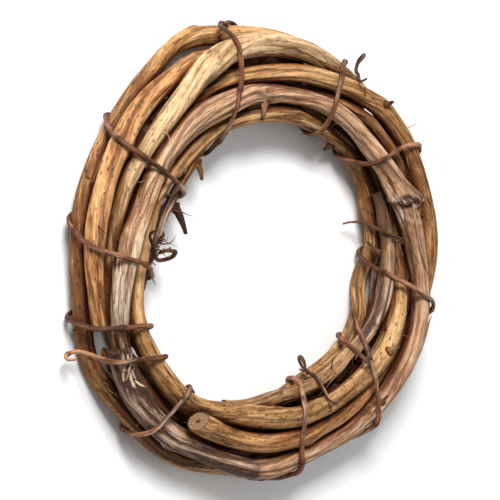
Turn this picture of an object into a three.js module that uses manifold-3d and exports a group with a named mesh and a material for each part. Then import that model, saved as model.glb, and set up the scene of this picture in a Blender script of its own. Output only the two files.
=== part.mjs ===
// Small grapevine wreath: stiff vine canes coiled into a ring and bound with thin dark vine.
// Millimetres. The ring lies flat, +Z is its front face, +Y the top of the front view.
// Every cane is described round the ring by angle (degrees from +X towards +Y), by radius
// from the ring's axis, by height above the ring's middle plane and by its own half width.

import * as THREE from 'three';
import Module from 'manifold-3d';

// Driving dimensions

const OUTER_DIAMETER = 100;
const RING_RADIUS = 41;
const CLEARANCE = 0.34;
const PLANE_STEP = 6;
const PLANES = 360 / PLANE_STEP;
const CANE_SIDES = 8;
const BINDING_SIDES = 6;
const BINDING_HALF = 0.62;
const THIN_BINDING_HALF = 0.5;
const BINDING_CLEARANCE = 0.42;
const BINDING_GROUND_GAP = 0.12;
const BINDING_STEPS_PER_TURN = 28;
const END_ROOM = 3;
const LIFT = 1.75;
const MIDDLE_HEIGHT = LIFT + 6.2;
const GROUND_MARGIN = 0.9;
const REST_ANGLES = [111, 207, 351];
const REST_FLAT = 3.5;
const REST_RUN = 10;
const BACK_LAYER = -2;
const FRONT_GIVE = 0.3;
const PULL_HOME = 0.04;
const STIFFNESS = 0.1;
const SETTLE_ROUNDS = 2600;
const PULLED_SHARE = 0.75;
const BEND_WAVES = [5.3, 9.1, 6.7];
const NODE_GAP = 9;
const NODE_GAP_SPREAD = 6;
const REST_SINK = 0.2;
const REST_PRESS = 1.8;
const NODE_SWELL = 0.15;
const NODE_KINK = 0.45;
const WOBBLE = 0.32;
const STUB_COUNT = 19;
const STUB_APART = 9;
const STUB_TO_CANE = 0.5;
const STUB_TO_BINDING = 1.1;
const LUMP_LENGTH = 1.5;
const SEED = 20417;

// Canes: each row is angle, radius, height, half width. Angles run on past 360 where a cane
// lies in the ring for more than one turn.

const CANES = [
  {
    name: 'cane_long_pinkish',
    color: 0xa5805d,
    stations: [
      [204, 46.8, 3.2, 2.1], [212, 47.3, 2.9, 2.7], [226, 46.9, 2.0, 2.3], [245, 46.2, 1.6, 2.3],
      [265, 45.8, 1.9, 2.2], [285, 44.3, 1.5, 2.1], [300, 45.0, 1.2, 2.1], [317, 46.0, 1.8, 2.2],
      [330, 46.0, 2.4, 2.2], [345, 44.4, 2.8, 2.2], [360, 41.2, 3.0, 2.3], [372, 39.9, 3.3, 2.7],
      [378, 39.1, 3.4, 3.2], [384, 38.4, 3.4, 2.8], [400, 36.8, 3.3, 2.3], [412, 36.0, 3.3, 2.1],
      [433, 35.9, 3.2, 2.0], [459, 36.0, 3.2, 2.1], [472, 35.6, 3.3, 2.5], [487, 36.9, 3.4, 2.7],
      [505, 37.9, 3.6, 2.5], [523, 39.6, 3.8, 2.3], [540, 41.3, 3.6, 2.3], [549, 42.9, 3.1, 2.2],
      [557, 44.2, 1.9, 2.1], [565, 45.0, 0.0, 2.0], [575, 45.0, -2.2, 2.3], [590, 44.0, -3.6, 2.1],
      [605, 42.4, -3.9, 2.0], [620, 41.4, -3.9, 1.9], [638, 41.2, -3.9, 1.8],
    ],
  },
  {
    name: 'cane_long_golden',
    color: 0xb98a4a,
    stations: [
      [60, 47.6, -3.9, 1.8], [80, 48.2, -3.6, 2.0], [98, 48.9, -3.4, 2.1], [111, 49.9, -3.5, 2.1],
      [130, 48.6, -3.4, 2.0], [150, 48.2, -3.4, 2.0], [175, 47.9, -3.4, 2.1], [185, 47.3, -3.5, 2.1],
      [200, 47.6, -3.5, 2.1], [220, 48.7, -3.5, 2.1], [240, 47.9, -3.6, 2.0], [255, 46.3, -3.8, 2.0],
      [270, 45.8, -3.9, 2.0], [290, 46.0, -3.8, 2.0], [320, 46.6, -3.6, 2.0], [338, 47.3, -2.2, 2.1],
      [350, 47.4, 0.2, 1.8],
      [360, 46.8, 2.0, 1.9], [371, 46.7, 2.4, 2.0], [382, 46.2, 2.4, 1.9], [398, 46.2, 2.5, 2.0],
      [413, 44.9, 2.6, 2.2], [423, 43.4, 2.7, 2.2], [432, 41.7, 2.8, 2.1], [447, 40.3, 2.8, 2.0],
      [467, 40.3, 2.4, 2.0], [482, 40.7, 0.2, 1.9], [500, 41.8, -2.8, 1.9], [520, 43.0, -3.9, 1.8],
      [540, 42.8, -3.9, 1.7],
    ],
  },
  {
    name: 'cane_broad_golden',
    color: 0xbd8f50,
    stations: [
      [342, 45.8, -3.9, 1.7], [360, 46.7, -3.8, 1.9], [380, 47.3, -3.2, 1.9], [392, 47.5, -2.6, 1.9],
      [407, 47.6, -1.0, 1.7], [421, 46.7, 0.2, 2.0], [430, 46.2, 1.5, 2.1], [441, 46.1, 2.3, 2.4],
      [456, 46.2, 3.0, 2.7], [466, 45.9, 3.2, 2.9], [477, 45.1, 3.5, 2.8], [487, 43.9, 3.9, 2.4],
      [505, 43.2, 3.6, 2.0], [522, 42.9, 1.8, 1.8], [531, 42.8, 0.6, 1.8], [548, 42.8, -2.2, 2.1],
      [565, 41.8, -3.9, 1.9], [585, 39.9, -3.9, 1.9], [610, 38.6, -3.9, 1.9], [640, 37.2, -3.9, 1.8],
      [672, 37.0, -3.9, 1.7],
    ],
  },
  {
    name: 'cane_long_tan',
    color: 0xb59468,
    stations: [
      [270, 33.0, -3.6, 1.7], [289, 31.4, -3.2, 1.7], [314, 31.2, -3.1, 1.8], [330, 31.9, -3.1, 1.9],
      [340, 32.7, -3.1, 1.9], [360, 34.4, -3.0, 1.9], [381, 35.8, -2.6, 1.9], [401, 36.4, -2.3, 1.9],
      [417, 35.2, -1.0, 1.7], [432, 33.1, 1.6, 1.7], [449, 32.3, 2.6, 1.7], [463, 31.7, 2.4, 1.7],
      [478, 31.7, 1.2, 1.7], [491, 32.1, 1.2, 1.6], [503, 32.9, 1.6, 1.7], [514, 33.8, 2.2, 1.7],
      [531, 35.2, 2.3, 1.7], [547, 37.0, 1.4, 1.7], [560, 39.0, 1.4, 1.9], [571, 40.4, 2.2, 2.3],
      [589, 40.0, 2.8, 2.6], [598, 38.2, 2.6, 2.5], [606, 36.6, 2.5, 2.4], [617, 35.7, 2.7, 2.5],
      [632, 35.6, 3.0, 2.5], [650, 36.1, 3.4, 2.2], [664, 36.3, 3.5, 2.1], [680, 37.6, 3.5, 2.4],
      [690, 38.3, 3.3, 2.5], [702, 38.7, 2.6, 2.3], [711, 39.6, 0.4, 1.9], [724, 40.0, -2.4, 1.8],
      [740, 39.9, -3.8, 1.6],
      [780, 39.9, -3.9, 1.6], [810, 39.2, -3.9, 1.7], [840, 38.2, -3.9, 1.8], [864, 37.2, -3.9, 1.7],
    ],
  },
  {
    name: 'cane_with_cut_end',
    color: 0xa9743f,
    stations: [
      [234, 42.2, 6.2, 2.7], [240, 41.6, 5.0, 2.4], [247, 41.0, 3.4, 2.2], [258, 40.4, 2.5, 2.2],
      [273, 40.3, 2.3, 2.2],
      [284, 40.6, 2.2, 2.0], [305, 41.5, 2.0, 1.8], [318, 41.9, 1.5, 1.6], [330, 42.4, 0.2, 1.6],
      [345, 43.0, -2.4, 1.9], [360, 43.3, -3.8, 1.9], [420, 43.5, -3.9, 1.9], [455, 44.0, -3.6, 2.1],
      [472, 45.2, -1.8, 2.2], [485, 46.1, 0.2, 2.1], [494, 46.8, 1.3, 2.3], [513, 47.3, 2.3, 2.2],
      [531, 47.0, 2.5, 2.2], [543, 46.6, 1.6, 2.0], [552, 46.8, 0.4, 1.8], [559, 47.2, -0.2, 1.8],
    ],
  },
  {
    name: 'cane_short_grey',
    color: 0x8d735c,
    stations: [
      [250, 36.3, -1.6, 1.5], [262, 34.2, 0.2, 1.6], [274, 32.0, 2.0, 1.8], [292, 31.7, 2.6, 1.7],
      [314, 31.7, 2.8, 1.6], [325, 32.5, 2.7, 1.8], [343, 34.0, 2.5, 1.8], [354, 35.0, 2.2, 1.8],
      [366, 36.0, 1.6, 1.7], [374, 36.4, 0.6, 1.6], [388, 36.6, -0.8, 1.4],
    ],
  },
  {
    name: 'cane_short_brown',
    color: 0x8f6238,
    stations: [
      [12, 43.6, -0.4, 1.2], [24, 43.4, 1.2, 1.4], [33, 42.7, 2.1, 1.6], [44, 41.8, 2.4, 1.6],
      [55, 40.9, 2.4, 1.7], [63, 39.9, 1.6, 1.6], [72, 39.4, 0.0, 1.6], [84, 39.6, -0.8, 1.5],
    ],
  },
  {
    name: 'cane_thin_inner',
    color: 0xb78d55,
    stations: [
      [120, 30.2, -1.8, 1.0], [136, 29.2, -0.4, 1.2], [148, 29.7, 0.6, 1.2], [160, 30.8, 1.2, 1.2],
      [171, 32.0, 0.6, 1.2], [180, 33.2, -0.4, 1.1], [192, 34.6, -1.8, 1.0],
    ],
  },
];

// Cut end that stands up out of the front, with the sawn face tipped towards the viewer
const TIPPED_CANE = 'cane_with_cut_end';
const TIP_SLOPE = 0.55;

// Bindings: turns of thin vine round the whole bundle. A row is one point of the wrap: the
// side of the bundle in degrees (0 outer side, 90 front, 180 inner side, 270 back, and on past
// 360 turn after turn) and the angle round the ring where the vine lies on that side.

const BINDINGS = [
  {
    name: 'binding_long',
    half: BINDING_HALF,
    color: 0x6b3d23,
    wrap: [
      [-12, 26.5], [0, 27.5], [90, 36], [180, 40.5], [360, 63], [450, 68], [540, 66], [720, 104],
      [780, 107], [810, 109], [850, 116], [900, 124.5], [1080, 148], [1170, 152], [1260, 151.5],
      [1440, 175], [1530, 181], [1620, 187], [1800, 196], [1890, 199.5], [1980, 204.5], [1996, 206],
    ],
    startCurl: { radius: 6.0, turn: 35, shrink: 0.0, drift: 0.0 },
    endCurl: { radius: 6.0, turn: 45, shrink: 0.0, drift: 0.0 },
  },
  {
    name: 'binding_lower',
    half: BINDING_HALF,
    color: 0x6f4227,
    wrap: [
      [-10, 202.5], [0, 203], [90, 208.5], [180, 217], [360, 226.5], [450, 226.5], [540, 231.5],
      [720, 275.5], [810, 277], [900, 285.5], [1080, 304], [1170, 312.5], [1230, 324], [1256, 329],
    ],
    startCurl: { radius: 2.4, turn: 250, shrink: 0.3, drift: 1.2 },
    endCurl: { radius: 7.0, turn: 40, shrink: 0.0, drift: 0.0 },
  },
  {
    name: 'binding_right',
    half: BINDING_HALF,
    color: 0x643820,
    wrap: [
      [128, 315.3], [180, 318.4], [360, 343], [450, 349], [540, 357], [600, 364],
    ],
    startCurl: { radius: 1.9, turn: 170, shrink: 0.3, drift: -1.0 },
    endCurl: { radius: 5.0, turn: 40, shrink: 0.0, drift: 0.0 },
  },
  {
    name: 'tendril_left',
    half: THIN_BINDING_HALF,
    color: 0x5c3520,
    wrap: [
      [112, 174], [140, 177.5], [176, 181],
    ],
    startCurl: { radius: 4.0, turn: 60, shrink: 0.0, drift: 0.0 },
    endCurl: { radius: 2.2, turn: 520, shrink: 0.5, drift: -1.5 },
  },
  {
    name: 'tendril_top',
    half: THIN_BINDING_HALF,
    color: 0x5f3822,
    wrap: [
      [0, 58], [30, 59], [60, 60.5],
    ],
    startCurl: { radius: 2.4, turn: 330, shrink: 0.45, drift: -1.4 },
    endCurl: { radius: 3.5, turn: 60, shrink: 0.0, drift: 0.3 },
  },
  {
    name: 'tendril_bottom',
    half: THIN_BINDING_HALF,
    color: 0x5c3520,
    wrap: [
      [120, 291], [150, 292.5], [176, 294],
    ],
    startCurl: { radius: 3.0, turn: 70, shrink: 0.0, drift: 0.0 },
    endCurl: { radius: 2.3, turn: 400, shrink: 0.45, drift: -1.4 },
  },
  {
    name: 'tendril_right',
    half: THIN_BINDING_HALF,
    color: 0x57321d,
    wrap: [
      [140, 8], [160, 10], [180, 12], [200, 14],
    ],
    startCurl: { radius: 2.4, turn: 240, shrink: 0.4, drift: 1.3 },
    endCurl: { radius: 4.0, turn: 80, shrink: 0.0, drift: 0.0 },
  },
];

// Twig stubs placed by hand: cane, angle round the ring, side of the cane (degrees as for the
// bindings), length, half width at the root and lean along the cane
const PLACED_STUBS = [
  { cane: 'cane_thin_inner', at: 156, side: 180, length: 5.5, half: 0.95, lean: 0.9 },
  { cane: 'cane_long_pinkish', at: 378, side: 55, length: 0.9, half: 1.7, lean: 0.4 },
  { cane: 'cane_long_pinkish', at: 372, side: 95, length: 0.8, half: 1.6, lean: -0.5 },
  { cane: 'cane_long_pinkish', at: 216, side: 80, length: 0.8, half: 1.6, lean: 0.3 },
];

// Small helpers

const DEG = Math.PI / 180;

function seeded(seed) {
  let state = seed >>> 0;
  return () => {
    state = (Math.imul(state, 1664525) + 1013904223) >>> 0;
    return state / 4294967296;
  };
}

function smoothStep(t) {
  const c = Math.min(Math.max(t, 0), 1);
  return c * c * (3 - 2 * c);
}

// Smooth curve through rows of numbers whose first column is the parameter
function sample(rows, at) {
  let i = 0;
  while (i < rows.length - 2 && at > rows[i + 1][0]) {
    i += 1;
  }
  const before = rows[Math.max(i - 1, 0)];
  const a = rows[i];
  const b = rows[i + 1];
  const after = rows[Math.min(i + 2, rows.length - 1)];
  const span = b[0] - a[0];
  const t = Math.min(Math.max((at - a[0]) / span, 0), 1);
  return a.slice(1).map((value, k) => {
    const column = k + 1;
    const slopeA = (b[column] - before[column]) / (b[0] - before[0]);
    const slopeB = (after[column] - a[column]) / (after[0] - a[0]);
    const t2 = t * t;
    const t3 = t2 * t;
    return (2 * t3 - 3 * t2 + 1) * value + (t3 - 2 * t2 + t) * span * slopeA
      + (3 * t2 - 2 * t3) * b[column] + (t3 - t2) * span * slopeB;
  });
}

function angleBetween(a, b) {
  const d = (((a - b) % 360) + 540) % 360 - 180;
  return Math.abs(d);
}

// Height of the lowest side of the canes over the ground: the ring stands on three low places
function floorHeight(angle) {
  const nearest = Math.min(...REST_ANGLES.map((rest) => angleBetween(angle, rest)));
  return LIFT * smoothStep((nearest - REST_FLAT) / REST_RUN);
}

// Canes as chains of points, one point in every plane of the ring

function laidOutCane(spec, random) {
  const first = Math.ceil(spec.stations[0][0] / PLANE_STEP);
  const last = Math.floor(spec.stations[spec.stations.length - 1][0] / PLANE_STEP);
  const points = [];
  let untilNode = NODE_GAP / 2 + Math.floor(random() * NODE_GAP_SPREAD);
  let side = 1;
  const phases = [random() * 360, random() * 360, random() * 360];
  for (let plane = first; plane <= last; plane += 1) {
    const [radius, height, half] = sample(spec.stations, plane * PLANE_STEP);
    let swell = 1;
    let kink = 0;
    if (untilNode <= 0) {
      swell = 1 + NODE_SWELL;
      kink = NODE_KINK * side;
      side = -side;
      untilNode = NODE_GAP + Math.floor(random() * NODE_GAP_SPREAD);
    }
    untilNode -= 1;
    const along = plane * PLANE_STEP;
    const waves = BEND_WAVES.map((wave, k) => Math.sin((along * wave + phases[k]) * DEG));
    const x = radius + kink + WOBBLE * (waves[0] + 0.7 * waves[1]);
    const lowered = 1 - floorHeight(plane * PLANE_STEP) / LIFT;
    const dip = height < BACK_LAYER ? lowered * (LIFT + REST_PRESS) : 0;
    const z = height + MIDDLE_HEIGHT - dip + kink * 0.5 + WOBBLE * waves[2];
    const give = height < BACK_LAYER ? 1 : FRONT_GIVE;
    points.push({ plane, x, z, homeX: x, homeZ: z, half: half * swell, give });
  }
  return { ...spec, points };
}

// Stiff canes press on one another and on the ground until each lies clear of the rest

function settle(canes) {
  const inPlane = Array.from({ length: PLANES }, () => []);
  for (const cane of canes) {
    for (const point of cane.points) {
      inPlane[((point.plane % PLANES) + PLANES) % PLANES].push(point);
    }
  }
  for (let round = 0; round < SETTLE_ROUNDS; round += 1) {
    const progress = round / SETTLE_ROUNDS;
    const pull = PULL_HOME * Math.max(0, 1 - progress / PULLED_SHARE);
    const stiffness = STIFFNESS * Math.min(1, (1 - progress) / (1 - PULLED_SHARE));
    for (const cane of canes) {
      const shift = cane.points.map((p) => [p.x - p.homeX, p.z - p.homeZ]);
      cane.points.forEach((p, i) => {
        const before = shift[Math.max(i - 1, 0)];
        const after = shift[Math.min(i + 1, shift.length - 1)];
        const meanX = (before[0] + after[0]) / 2;
        const meanZ = (before[1] + after[1]) / 2;
        p.x += stiffness * (meanX - shift[i][0]) - pull * shift[i][0];
        p.z += stiffness * (meanZ - shift[i][1]) - pull * shift[i][1];
      });
    }
    for (let plane = 0; plane < PLANES; plane += 1) {
      const list = inPlane[plane];
      for (let i = 0; i < list.length; i += 1) {
        for (let j = i + 1; j < list.length; j += 1) {
          const dx = list[j].x - list[i].x;
          const dz = list[j].z - list[i].z;
          const distance = Math.hypot(dx, dz) || 0.01;
          const wanted = list[i].half + list[j].half + CLEARANCE;
          if (distance < wanted) {
            const push = (wanted - distance) / distance / (list[i].give + list[j].give);
            list[i].x -= dx * push * list[i].give;
            list[i].z -= dz * push * list[i].give;
            list[j].x += dx * push * list[j].give;
            list[j].z += dz * push * list[j].give;
          }
        }
      }
      const ground = floorHeight(plane * PLANE_STEP);
      for (const point of list) {
        const flat = point.half * Math.cos(Math.PI / CANE_SIDES);
        point.z = Math.max(point.z, ground + flat - (ground < REST_SINK ? REST_SINK : 0));
      }
    }
  }
}

// Closed tube from rings of points
function tubeGeometry(rings) {
  const sides = rings[0].length;
  const positions = rings.flat().flatMap((p) => [p.x, p.y, p.z]);
  const index = [];
  for (let i = 0; i < rings.length - 1; i += 1) {
    for (let j = 0; j < sides; j += 1) {
      const a = i * sides + j;
      const b = i * sides + ((j + 1) % sides);
      index.push(a, b, a + sides);
      index.push(b, b + sides, a + sides);
    }
  }
  const end = (rings.length - 1) * sides;
  for (let j = 1; j < sides - 1; j += 1) {
    index.push(0, j + 1, j);
    index.push(end, end + j, end + j + 1);
  }
  const geometry = new THREE.BufferGeometry();
  geometry.setAttribute('position', new THREE.Float32BufferAttribute(positions, 3));
  geometry.setIndex(index);
  return geometry;
}

// The cane's skin: a ring in each plane, flat side down, never below the ground
function caneRings(cane) {
  return cane.points.map((point, i) => {
    const tipped = cane.name === TIPPED_CANE && i === 0;
    return Array.from({ length: CANE_SIDES }, (unused, j) => {
      const turn = -(j + 0.5) / CANE_SIDES * 2 * Math.PI;
      const radius = point.x + point.half * Math.cos(turn);
      const rise = point.half * Math.sin(turn);
      const lean = tipped ? TIP_SLOPE * rise / RING_RADIUS : 0;
      const angle = point.plane * PLANE_STEP * DEG + lean;
      const z = Math.max(point.z + rise, 0);
      return new THREE.Vector3(radius * Math.cos(angle), radius * Math.sin(angle), z);
    });
  });
}

// Tight wrap round the bundle: where a ray from the bundle's middle leaves the stretched skin

function bundleAt(canes, angle) {
  const found = [];
  for (const cane of canes) {
    const first = cane.points[0].plane * PLANE_STEP;
    const last = cane.points[cane.points.length - 1].plane * PLANE_STEP;
    for (let turn = -1; turn < 4; turn += 1) {
      const along = angle + turn * 360;
      if (along < first - END_ROOM || along > last + END_ROOM) {
        continue;
      }
      const place = Math.min(Math.max((along - first) / PLANE_STEP, 0), cane.points.length - 1);
      const low = Math.min(Math.floor(place), cane.points.length - 2);
      for (const near of [low, low + 1]) {
        if (Math.abs(place - near) < 0.75) {
          found.push(cane.points[near]);
        }
      }
      const t = place - low;
      const a = cane.points[low];
      const b = cane.points[low + 1];
      found.push({
        x: a.x + (b.x - a.x) * t,
        z: a.z + (b.z - a.z) * t,
        half: Math.max(a.half, b.half),
      });
    }
  }
  return found;
}

function skinDistance(circles, centre, direction, margin) {
  const corners = [];
  for (const circle of circles) {
    for (let k = 0; k < 24; k += 1) {
      const turn = k / 24 * 2 * Math.PI;
      const reach = circle.half + margin;
      corners.push([
        circle.x + reach * Math.cos(turn) - centre[0],
        circle.z + reach * Math.sin(turn) - centre[1],
      ]);
    }
  }
  corners.sort((a, b) => a[0] - b[0] || a[1] - b[1]);
  const cross = (o, a, b) => (a[0] - o[0]) * (b[1] - o[1]) - (a[1] - o[1]) * (b[0] - o[0]);
  const halfHull = (list) => {
    const hull = [];
    for (const corner of list) {
      while (hull.length > 1 && cross(hull[hull.length - 2], hull[hull.length - 1], corner) <= 0) {
        hull.pop();
      }
      hull.push(corner);
    }
    hull.pop();
    return hull;
  };
  const hull = halfHull(corners).concat(halfHull(corners.slice().reverse()));
  let reach = 0;
  for (let i = 0; i < hull.length; i += 1) {
    const a = hull[i];
    const b = hull[(i + 1) % hull.length];
    const edge = [b[0] - a[0], b[1] - a[1]];
    const bottom = direction[0] * edge[1] - direction[1] * edge[0];
    if (Math.abs(bottom) < 1e-9) {
      continue;
    }
    const t = (a[0] * edge[1] - a[1] * edge[0]) / bottom;
    const u = (a[0] * direction[1] - a[1] * direction[0]) / bottom;
    if (t > 0 && u >= -1e-9 && u <= 1 + 1e-9) {
      reach = Math.max(reach, t);
    }
  }
  return reach;
}

function ringPoint(angle, radius, z) {
  return new THREE.Vector3(radius * Math.cos(angle * DEG), radius * Math.sin(angle * DEG), z);
}

// A curl that leaves the wrap along its own direction and bends away from the bundle
function curlPoints(from, along, away, curl, step) {
  const across = new THREE.Vector3().crossVectors(along, away).normalize();
  const points = [];
  const count = Math.max(3, Math.ceil(curl.turn / 360 * 2 * Math.PI * curl.radius / step));
  const here = from.clone();
  for (let k = 1; k <= count; k += 1) {
    const t = (k - 0.5) / count;
    const turned = curl.turn * DEG * t;
    const radius = curl.radius * (1 - curl.shrink * t);
    const length = curl.turn * DEG / count * radius;
    here.addScaledVector(along, Math.cos(turned) * length);
    here.addScaledVector(away, Math.sin(turned) * length);
    here.addScaledVector(across, curl.drift * curl.turn / 360 / count);
    here.z = Math.max(here.z, GROUND_MARGIN);
    points.push(here.clone());
  }
  return points;
}

function bindingPath(spec, canes) {
  const first = spec.wrap[0][0];
  const last = spec.wrap[spec.wrap.length - 1][0];
  const count = Math.round((last - first) / 360 * BINDING_STEPS_PER_TURN);
  const margin = spec.half + BINDING_CLEARANCE;
  const path = [];
  for (let k = 0; k <= count; k += 1) {
    const side = first + (last - first) * k / count;
    const [angle] = sample(spec.wrap, side);
    const circles = bundleAt(canes, angle);
    const inner = Math.min(...circles.map((c) => c.x - c.half));
    const outer = Math.max(...circles.map((c) => c.x + c.half));
    const bottom = Math.min(...circles.map((c) => c.z - c.half));
    const top = Math.max(...circles.map((c) => c.z + c.half));
    const centre = [(inner + outer) / 2, (bottom + top) / 2];
    const wide = (outer - inner) / 2;
    const tall = (top - bottom) / 2;
    const aim = [wide * Math.cos(side * DEG), tall * Math.sin(side * DEG)];
    const size = Math.hypot(aim[0], aim[1]);
    const direction = [aim[0] / size, aim[1] / size];
    const reach = skinDistance(circles, centre, direction, margin);
    const z = Math.max(centre[1] + direction[1] * reach, spec.half + BINDING_GROUND_GAP);
    path.push(ringPoint(angle, centre[0] + direction[0] * reach, z));
  }
  const step = path[1].distanceTo(path[0]);
  const middleAt = (angle) => ringPoint(angle, RING_RADIUS - 1, MIDDLE_HEIGHT);
  const curlFrom = (end, before, curl, angle) => {
    const along = end.clone().sub(before).normalize();
    const away = end.clone().sub(middleAt(angle));
    away.addScaledVector(along, -away.dot(along)).normalize();
    return curlPoints(end, along, away, curl, Math.min(step, 1.9));
  };
  const tail = curlFrom(path[path.length - 1], path[path.length - 2], spec.endCurl,
    spec.wrap[spec.wrap.length - 1][1]);
  const head = curlFrom(path[0], path[1], spec.startCurl, spec.wrap[0][1]);
  return [...head.reverse(), ...path, ...tail];
}

// Rings square to a free path, turned as little as possible from one to the next
function pathRings(path, halfAt, sides) {
  const tangents = path.map((p, i) => {
    const before = path[Math.max(i - 1, 0)];
    const after = path[Math.min(i + 1, path.length - 1)];
    return after.clone().sub(before).normalize();
  });
  const normal = new THREE.Vector3(0.3, 0.4, 0.86);
  return path.map((p, i) => {
    const tangent = tangents[i];
    normal.addScaledVector(tangent, -normal.dot(tangent)).normalize();
    const side = new THREE.Vector3().crossVectors(tangent, normal);
    const half = halfAt(i / (path.length - 1), i);
    return Array.from({ length: sides }, (unused, j) => {
      const turn = j / sides * 2 * Math.PI;
      return p.clone()
        .addScaledVector(normal, half * Math.cos(turn))
        .addScaledVector(side, half * Math.sin(turn));
    });
  });
}

function bindingRings(spec, path) {
  const ends = 6;
  return pathRings(path, (t, i) => {
    const fromEnd = Math.min(i, path.length - 1 - i);
    const taper = 0.55 + 0.45 * smoothStep(fromEnd / ends);
    return spec.half * taper * (1 + 0.1 * Math.sin(i * 0.9 + spec.half * 9));
  }, BINDING_SIDES);
}

// Twig stubs

function stubPath(cane, place, side, length, lean) {
  const point = cane.points[place];
  const angle = point.plane * PLANE_STEP;
  const centre = ringPoint(angle, point.x, point.z);
  const outward = ringPoint(angle, Math.cos(side * DEG), 0);
  outward.z = Math.sin(side * DEG);
  const along = new THREE.Vector3(-Math.sin(angle * DEG), Math.cos(angle * DEG), 0);
  const path = [];
  const steps = 3;
  for (let k = 0; k <= steps; k += 1) {
    const t = k / steps;
    const reach = point.half * 0.35 + (point.half * 0.65 + length) * t;
    path.push(centre.clone()
      .addScaledVector(outward, reach)
      .addScaledVector(along, lean * length * t * (0.6 + 0.4 * t)));
  }
  return path;
}

function stubIsClear(path, half, cane, place, canes, bindingPaths) {
  const outside = path.slice(1);
  const own = cane.points[place];
  for (const spot of outside) {
    if (spot.z < half + 0.3) {
      return false;
    }
    const angle = Math.atan2(spot.y, spot.x) / DEG;
    const radius = Math.hypot(spot.x, spot.y);
    for (const other of canes) {
      for (const point of other.points) {
        if (angleBetween(point.plane * PLANE_STEP, angle) > PLANE_STEP * 1.2) {
          continue;
        }
        const isOwn = other === cane && Math.abs(point.plane - own.plane) < 4;
        if (isOwn) {
          continue;
        }
        if (Math.hypot(point.x - radius, point.z - spot.z) < point.half + half + STUB_TO_CANE) {
          return false;
        }
      }
    }
    for (const binding of bindingPaths) {
      for (const knot of binding) {
        if (knot.distanceTo(spot) < half + BINDING_HALF + STUB_TO_BINDING) {
          return false;
        }
      }
    }
  }
  return true;
}

function stubGeometry(stub) {
  const profile = stub.lump
    ? (t) => stub.half * (1.1 - 0.7 * t * t)
    : (t) => stub.half * (1.25 - 0.55 * t);
  return tubeGeometry(pathRings(stub.path, profile, 6));
}

function toManifold(wasm, geometry) {
  const mesh = new wasm.Mesh({
    numProp: 3,
    vertProperties: new Float32Array(geometry.attributes.position.array),
    triVerts: new Uint32Array(geometry.index.array),
  });
  mesh.merge();
  return new wasm.Manifold(mesh);
}

function fromManifold(solid) {
  const mesh = solid.getMesh();
  const geometry = new THREE.BufferGeometry();
  const positions = [];
  for (let i = 0; i < mesh.numVert; i += 1) {
    positions.push(...mesh.vertProperties.slice(i * mesh.numProp, i * mesh.numProp + 3));
  }
  geometry.setAttribute('position', new THREE.Float32BufferAttribute(positions, 3));
  geometry.setIndex(Array.from(mesh.triVerts));
  return geometry;
}

function caneStubs(canes, bindingPaths, random) {
  const stubs = PLACED_STUBS.map((stub) => {
    const cane = canes.find((c) => c.name === stub.cane);
    const place = Math.round(stub.at / PLANE_STEP) - cane.points[0].plane;
    const path = stubPath(cane, place, stub.side, stub.length, stub.lean);
    return { cane, path, half: stub.half, lump: stub.length < LUMP_LENGTH };
  });
  let tries = 0;
  while (stubs.length < STUB_COUNT && tries < 4000) {
    tries += 1;
    const cane = canes[Math.floor(random() * canes.length)];
    const place = 2 + Math.floor(random() * (cane.points.length - 4));
    const side = random() * 360;
    const length = 1.6 + 3.4 * random() * random();
    const half = 0.6 + 0.25 * random();
    const lean = random() * 1.2;
    const path = stubPath(cane, place, side, length, lean);
    const apart = stubs.every((other) => other.path[3].distanceTo(path[3]) > STUB_APART);
    if (apart && stubIsClear(path, half, cane, place, canes, bindingPaths)) {
      stubs.push({ cane, path, half });
    }
  }
  return stubs;
}

// Assembly

const random = seeded(SEED);
const canes = CANES.map((spec) => laidOutCane(spec, random));
settle(canes);
const bindingPaths = BINDINGS.map((spec) => bindingPath(spec, canes));
const stubs = caneStubs(canes, bindingPaths, random);
const wasm = await Module();
wasm.setup();

const group = new THREE.Group();
group.name = 'grapevine_wreath';

function addMesh(name, geometry, color, roughness) {
  const material = new THREE.MeshStandardMaterial({ color, roughness, metalness: 0 });
  const mesh = new THREE.Mesh(geometry, material);
  mesh.name = name;
  group.add(mesh);
}

const caneBox = new THREE.Box3();
for (const cane of canes) {
  const skin = tubeGeometry(caneRings(cane));
  skin.computeBoundingBox();
  caneBox.union(skin.boundingBox);
  let solid = toManifold(wasm, skin);
  for (const stub of stubs.filter((s) => s.cane === cane)) {
    solid = solid.add(toManifold(wasm, stubGeometry(stub)));
  }
  addMesh(cane.name, fromManifold(solid), cane.color, 0.75);
}
BINDINGS.forEach((spec, i) => {
  addMesh(spec.name, tubeGeometry(bindingRings(spec, bindingPaths[i])), spec.color, 0.7);
});

// True size from the outline of the canes, its middle over the origin, lowest faces on the ground
const outline = caneBox.getSize(new THREE.Vector3());
const scale = OUTER_DIAMETER / Math.max(outline.x, outline.y);
const box = new THREE.Box3().setFromObject(group);
const middle = box.getCenter(new THREE.Vector3());
for (const mesh of group.children) {
  mesh.geometry.translate(-middle.x, -middle.y, -box.min.z);
  mesh.geometry.scale(scale, scale, scale);
}

export default group;
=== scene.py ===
# %% [markdown]
# # A small grapevine wreath
#
# The real thing is a handful of stiff vine canes, wound side by side into a ring while they
# were green, with a thinner vine wrapped round them so that they stay. Everything that shows is
# bark, so this lesson is about bark: where each cane runs, how its skin swells and cracks, and
# how its colour changes along the way.
#
# The solid model already says where every cane lies, with eight flat sides to each. We could
# bevel and subdivide those, but bark has ridges that run lengthwise and the solids have none.
# Instead we read the middle line and the thickness of each cane back from its solid, and carry
# a much finer skin along that line. Lengths are in mm and places along a cane in degrees round
# the ring, until a mesh is made, in metres.

import bpy
import numpy as np
from mathutils import Matrix, Vector


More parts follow.
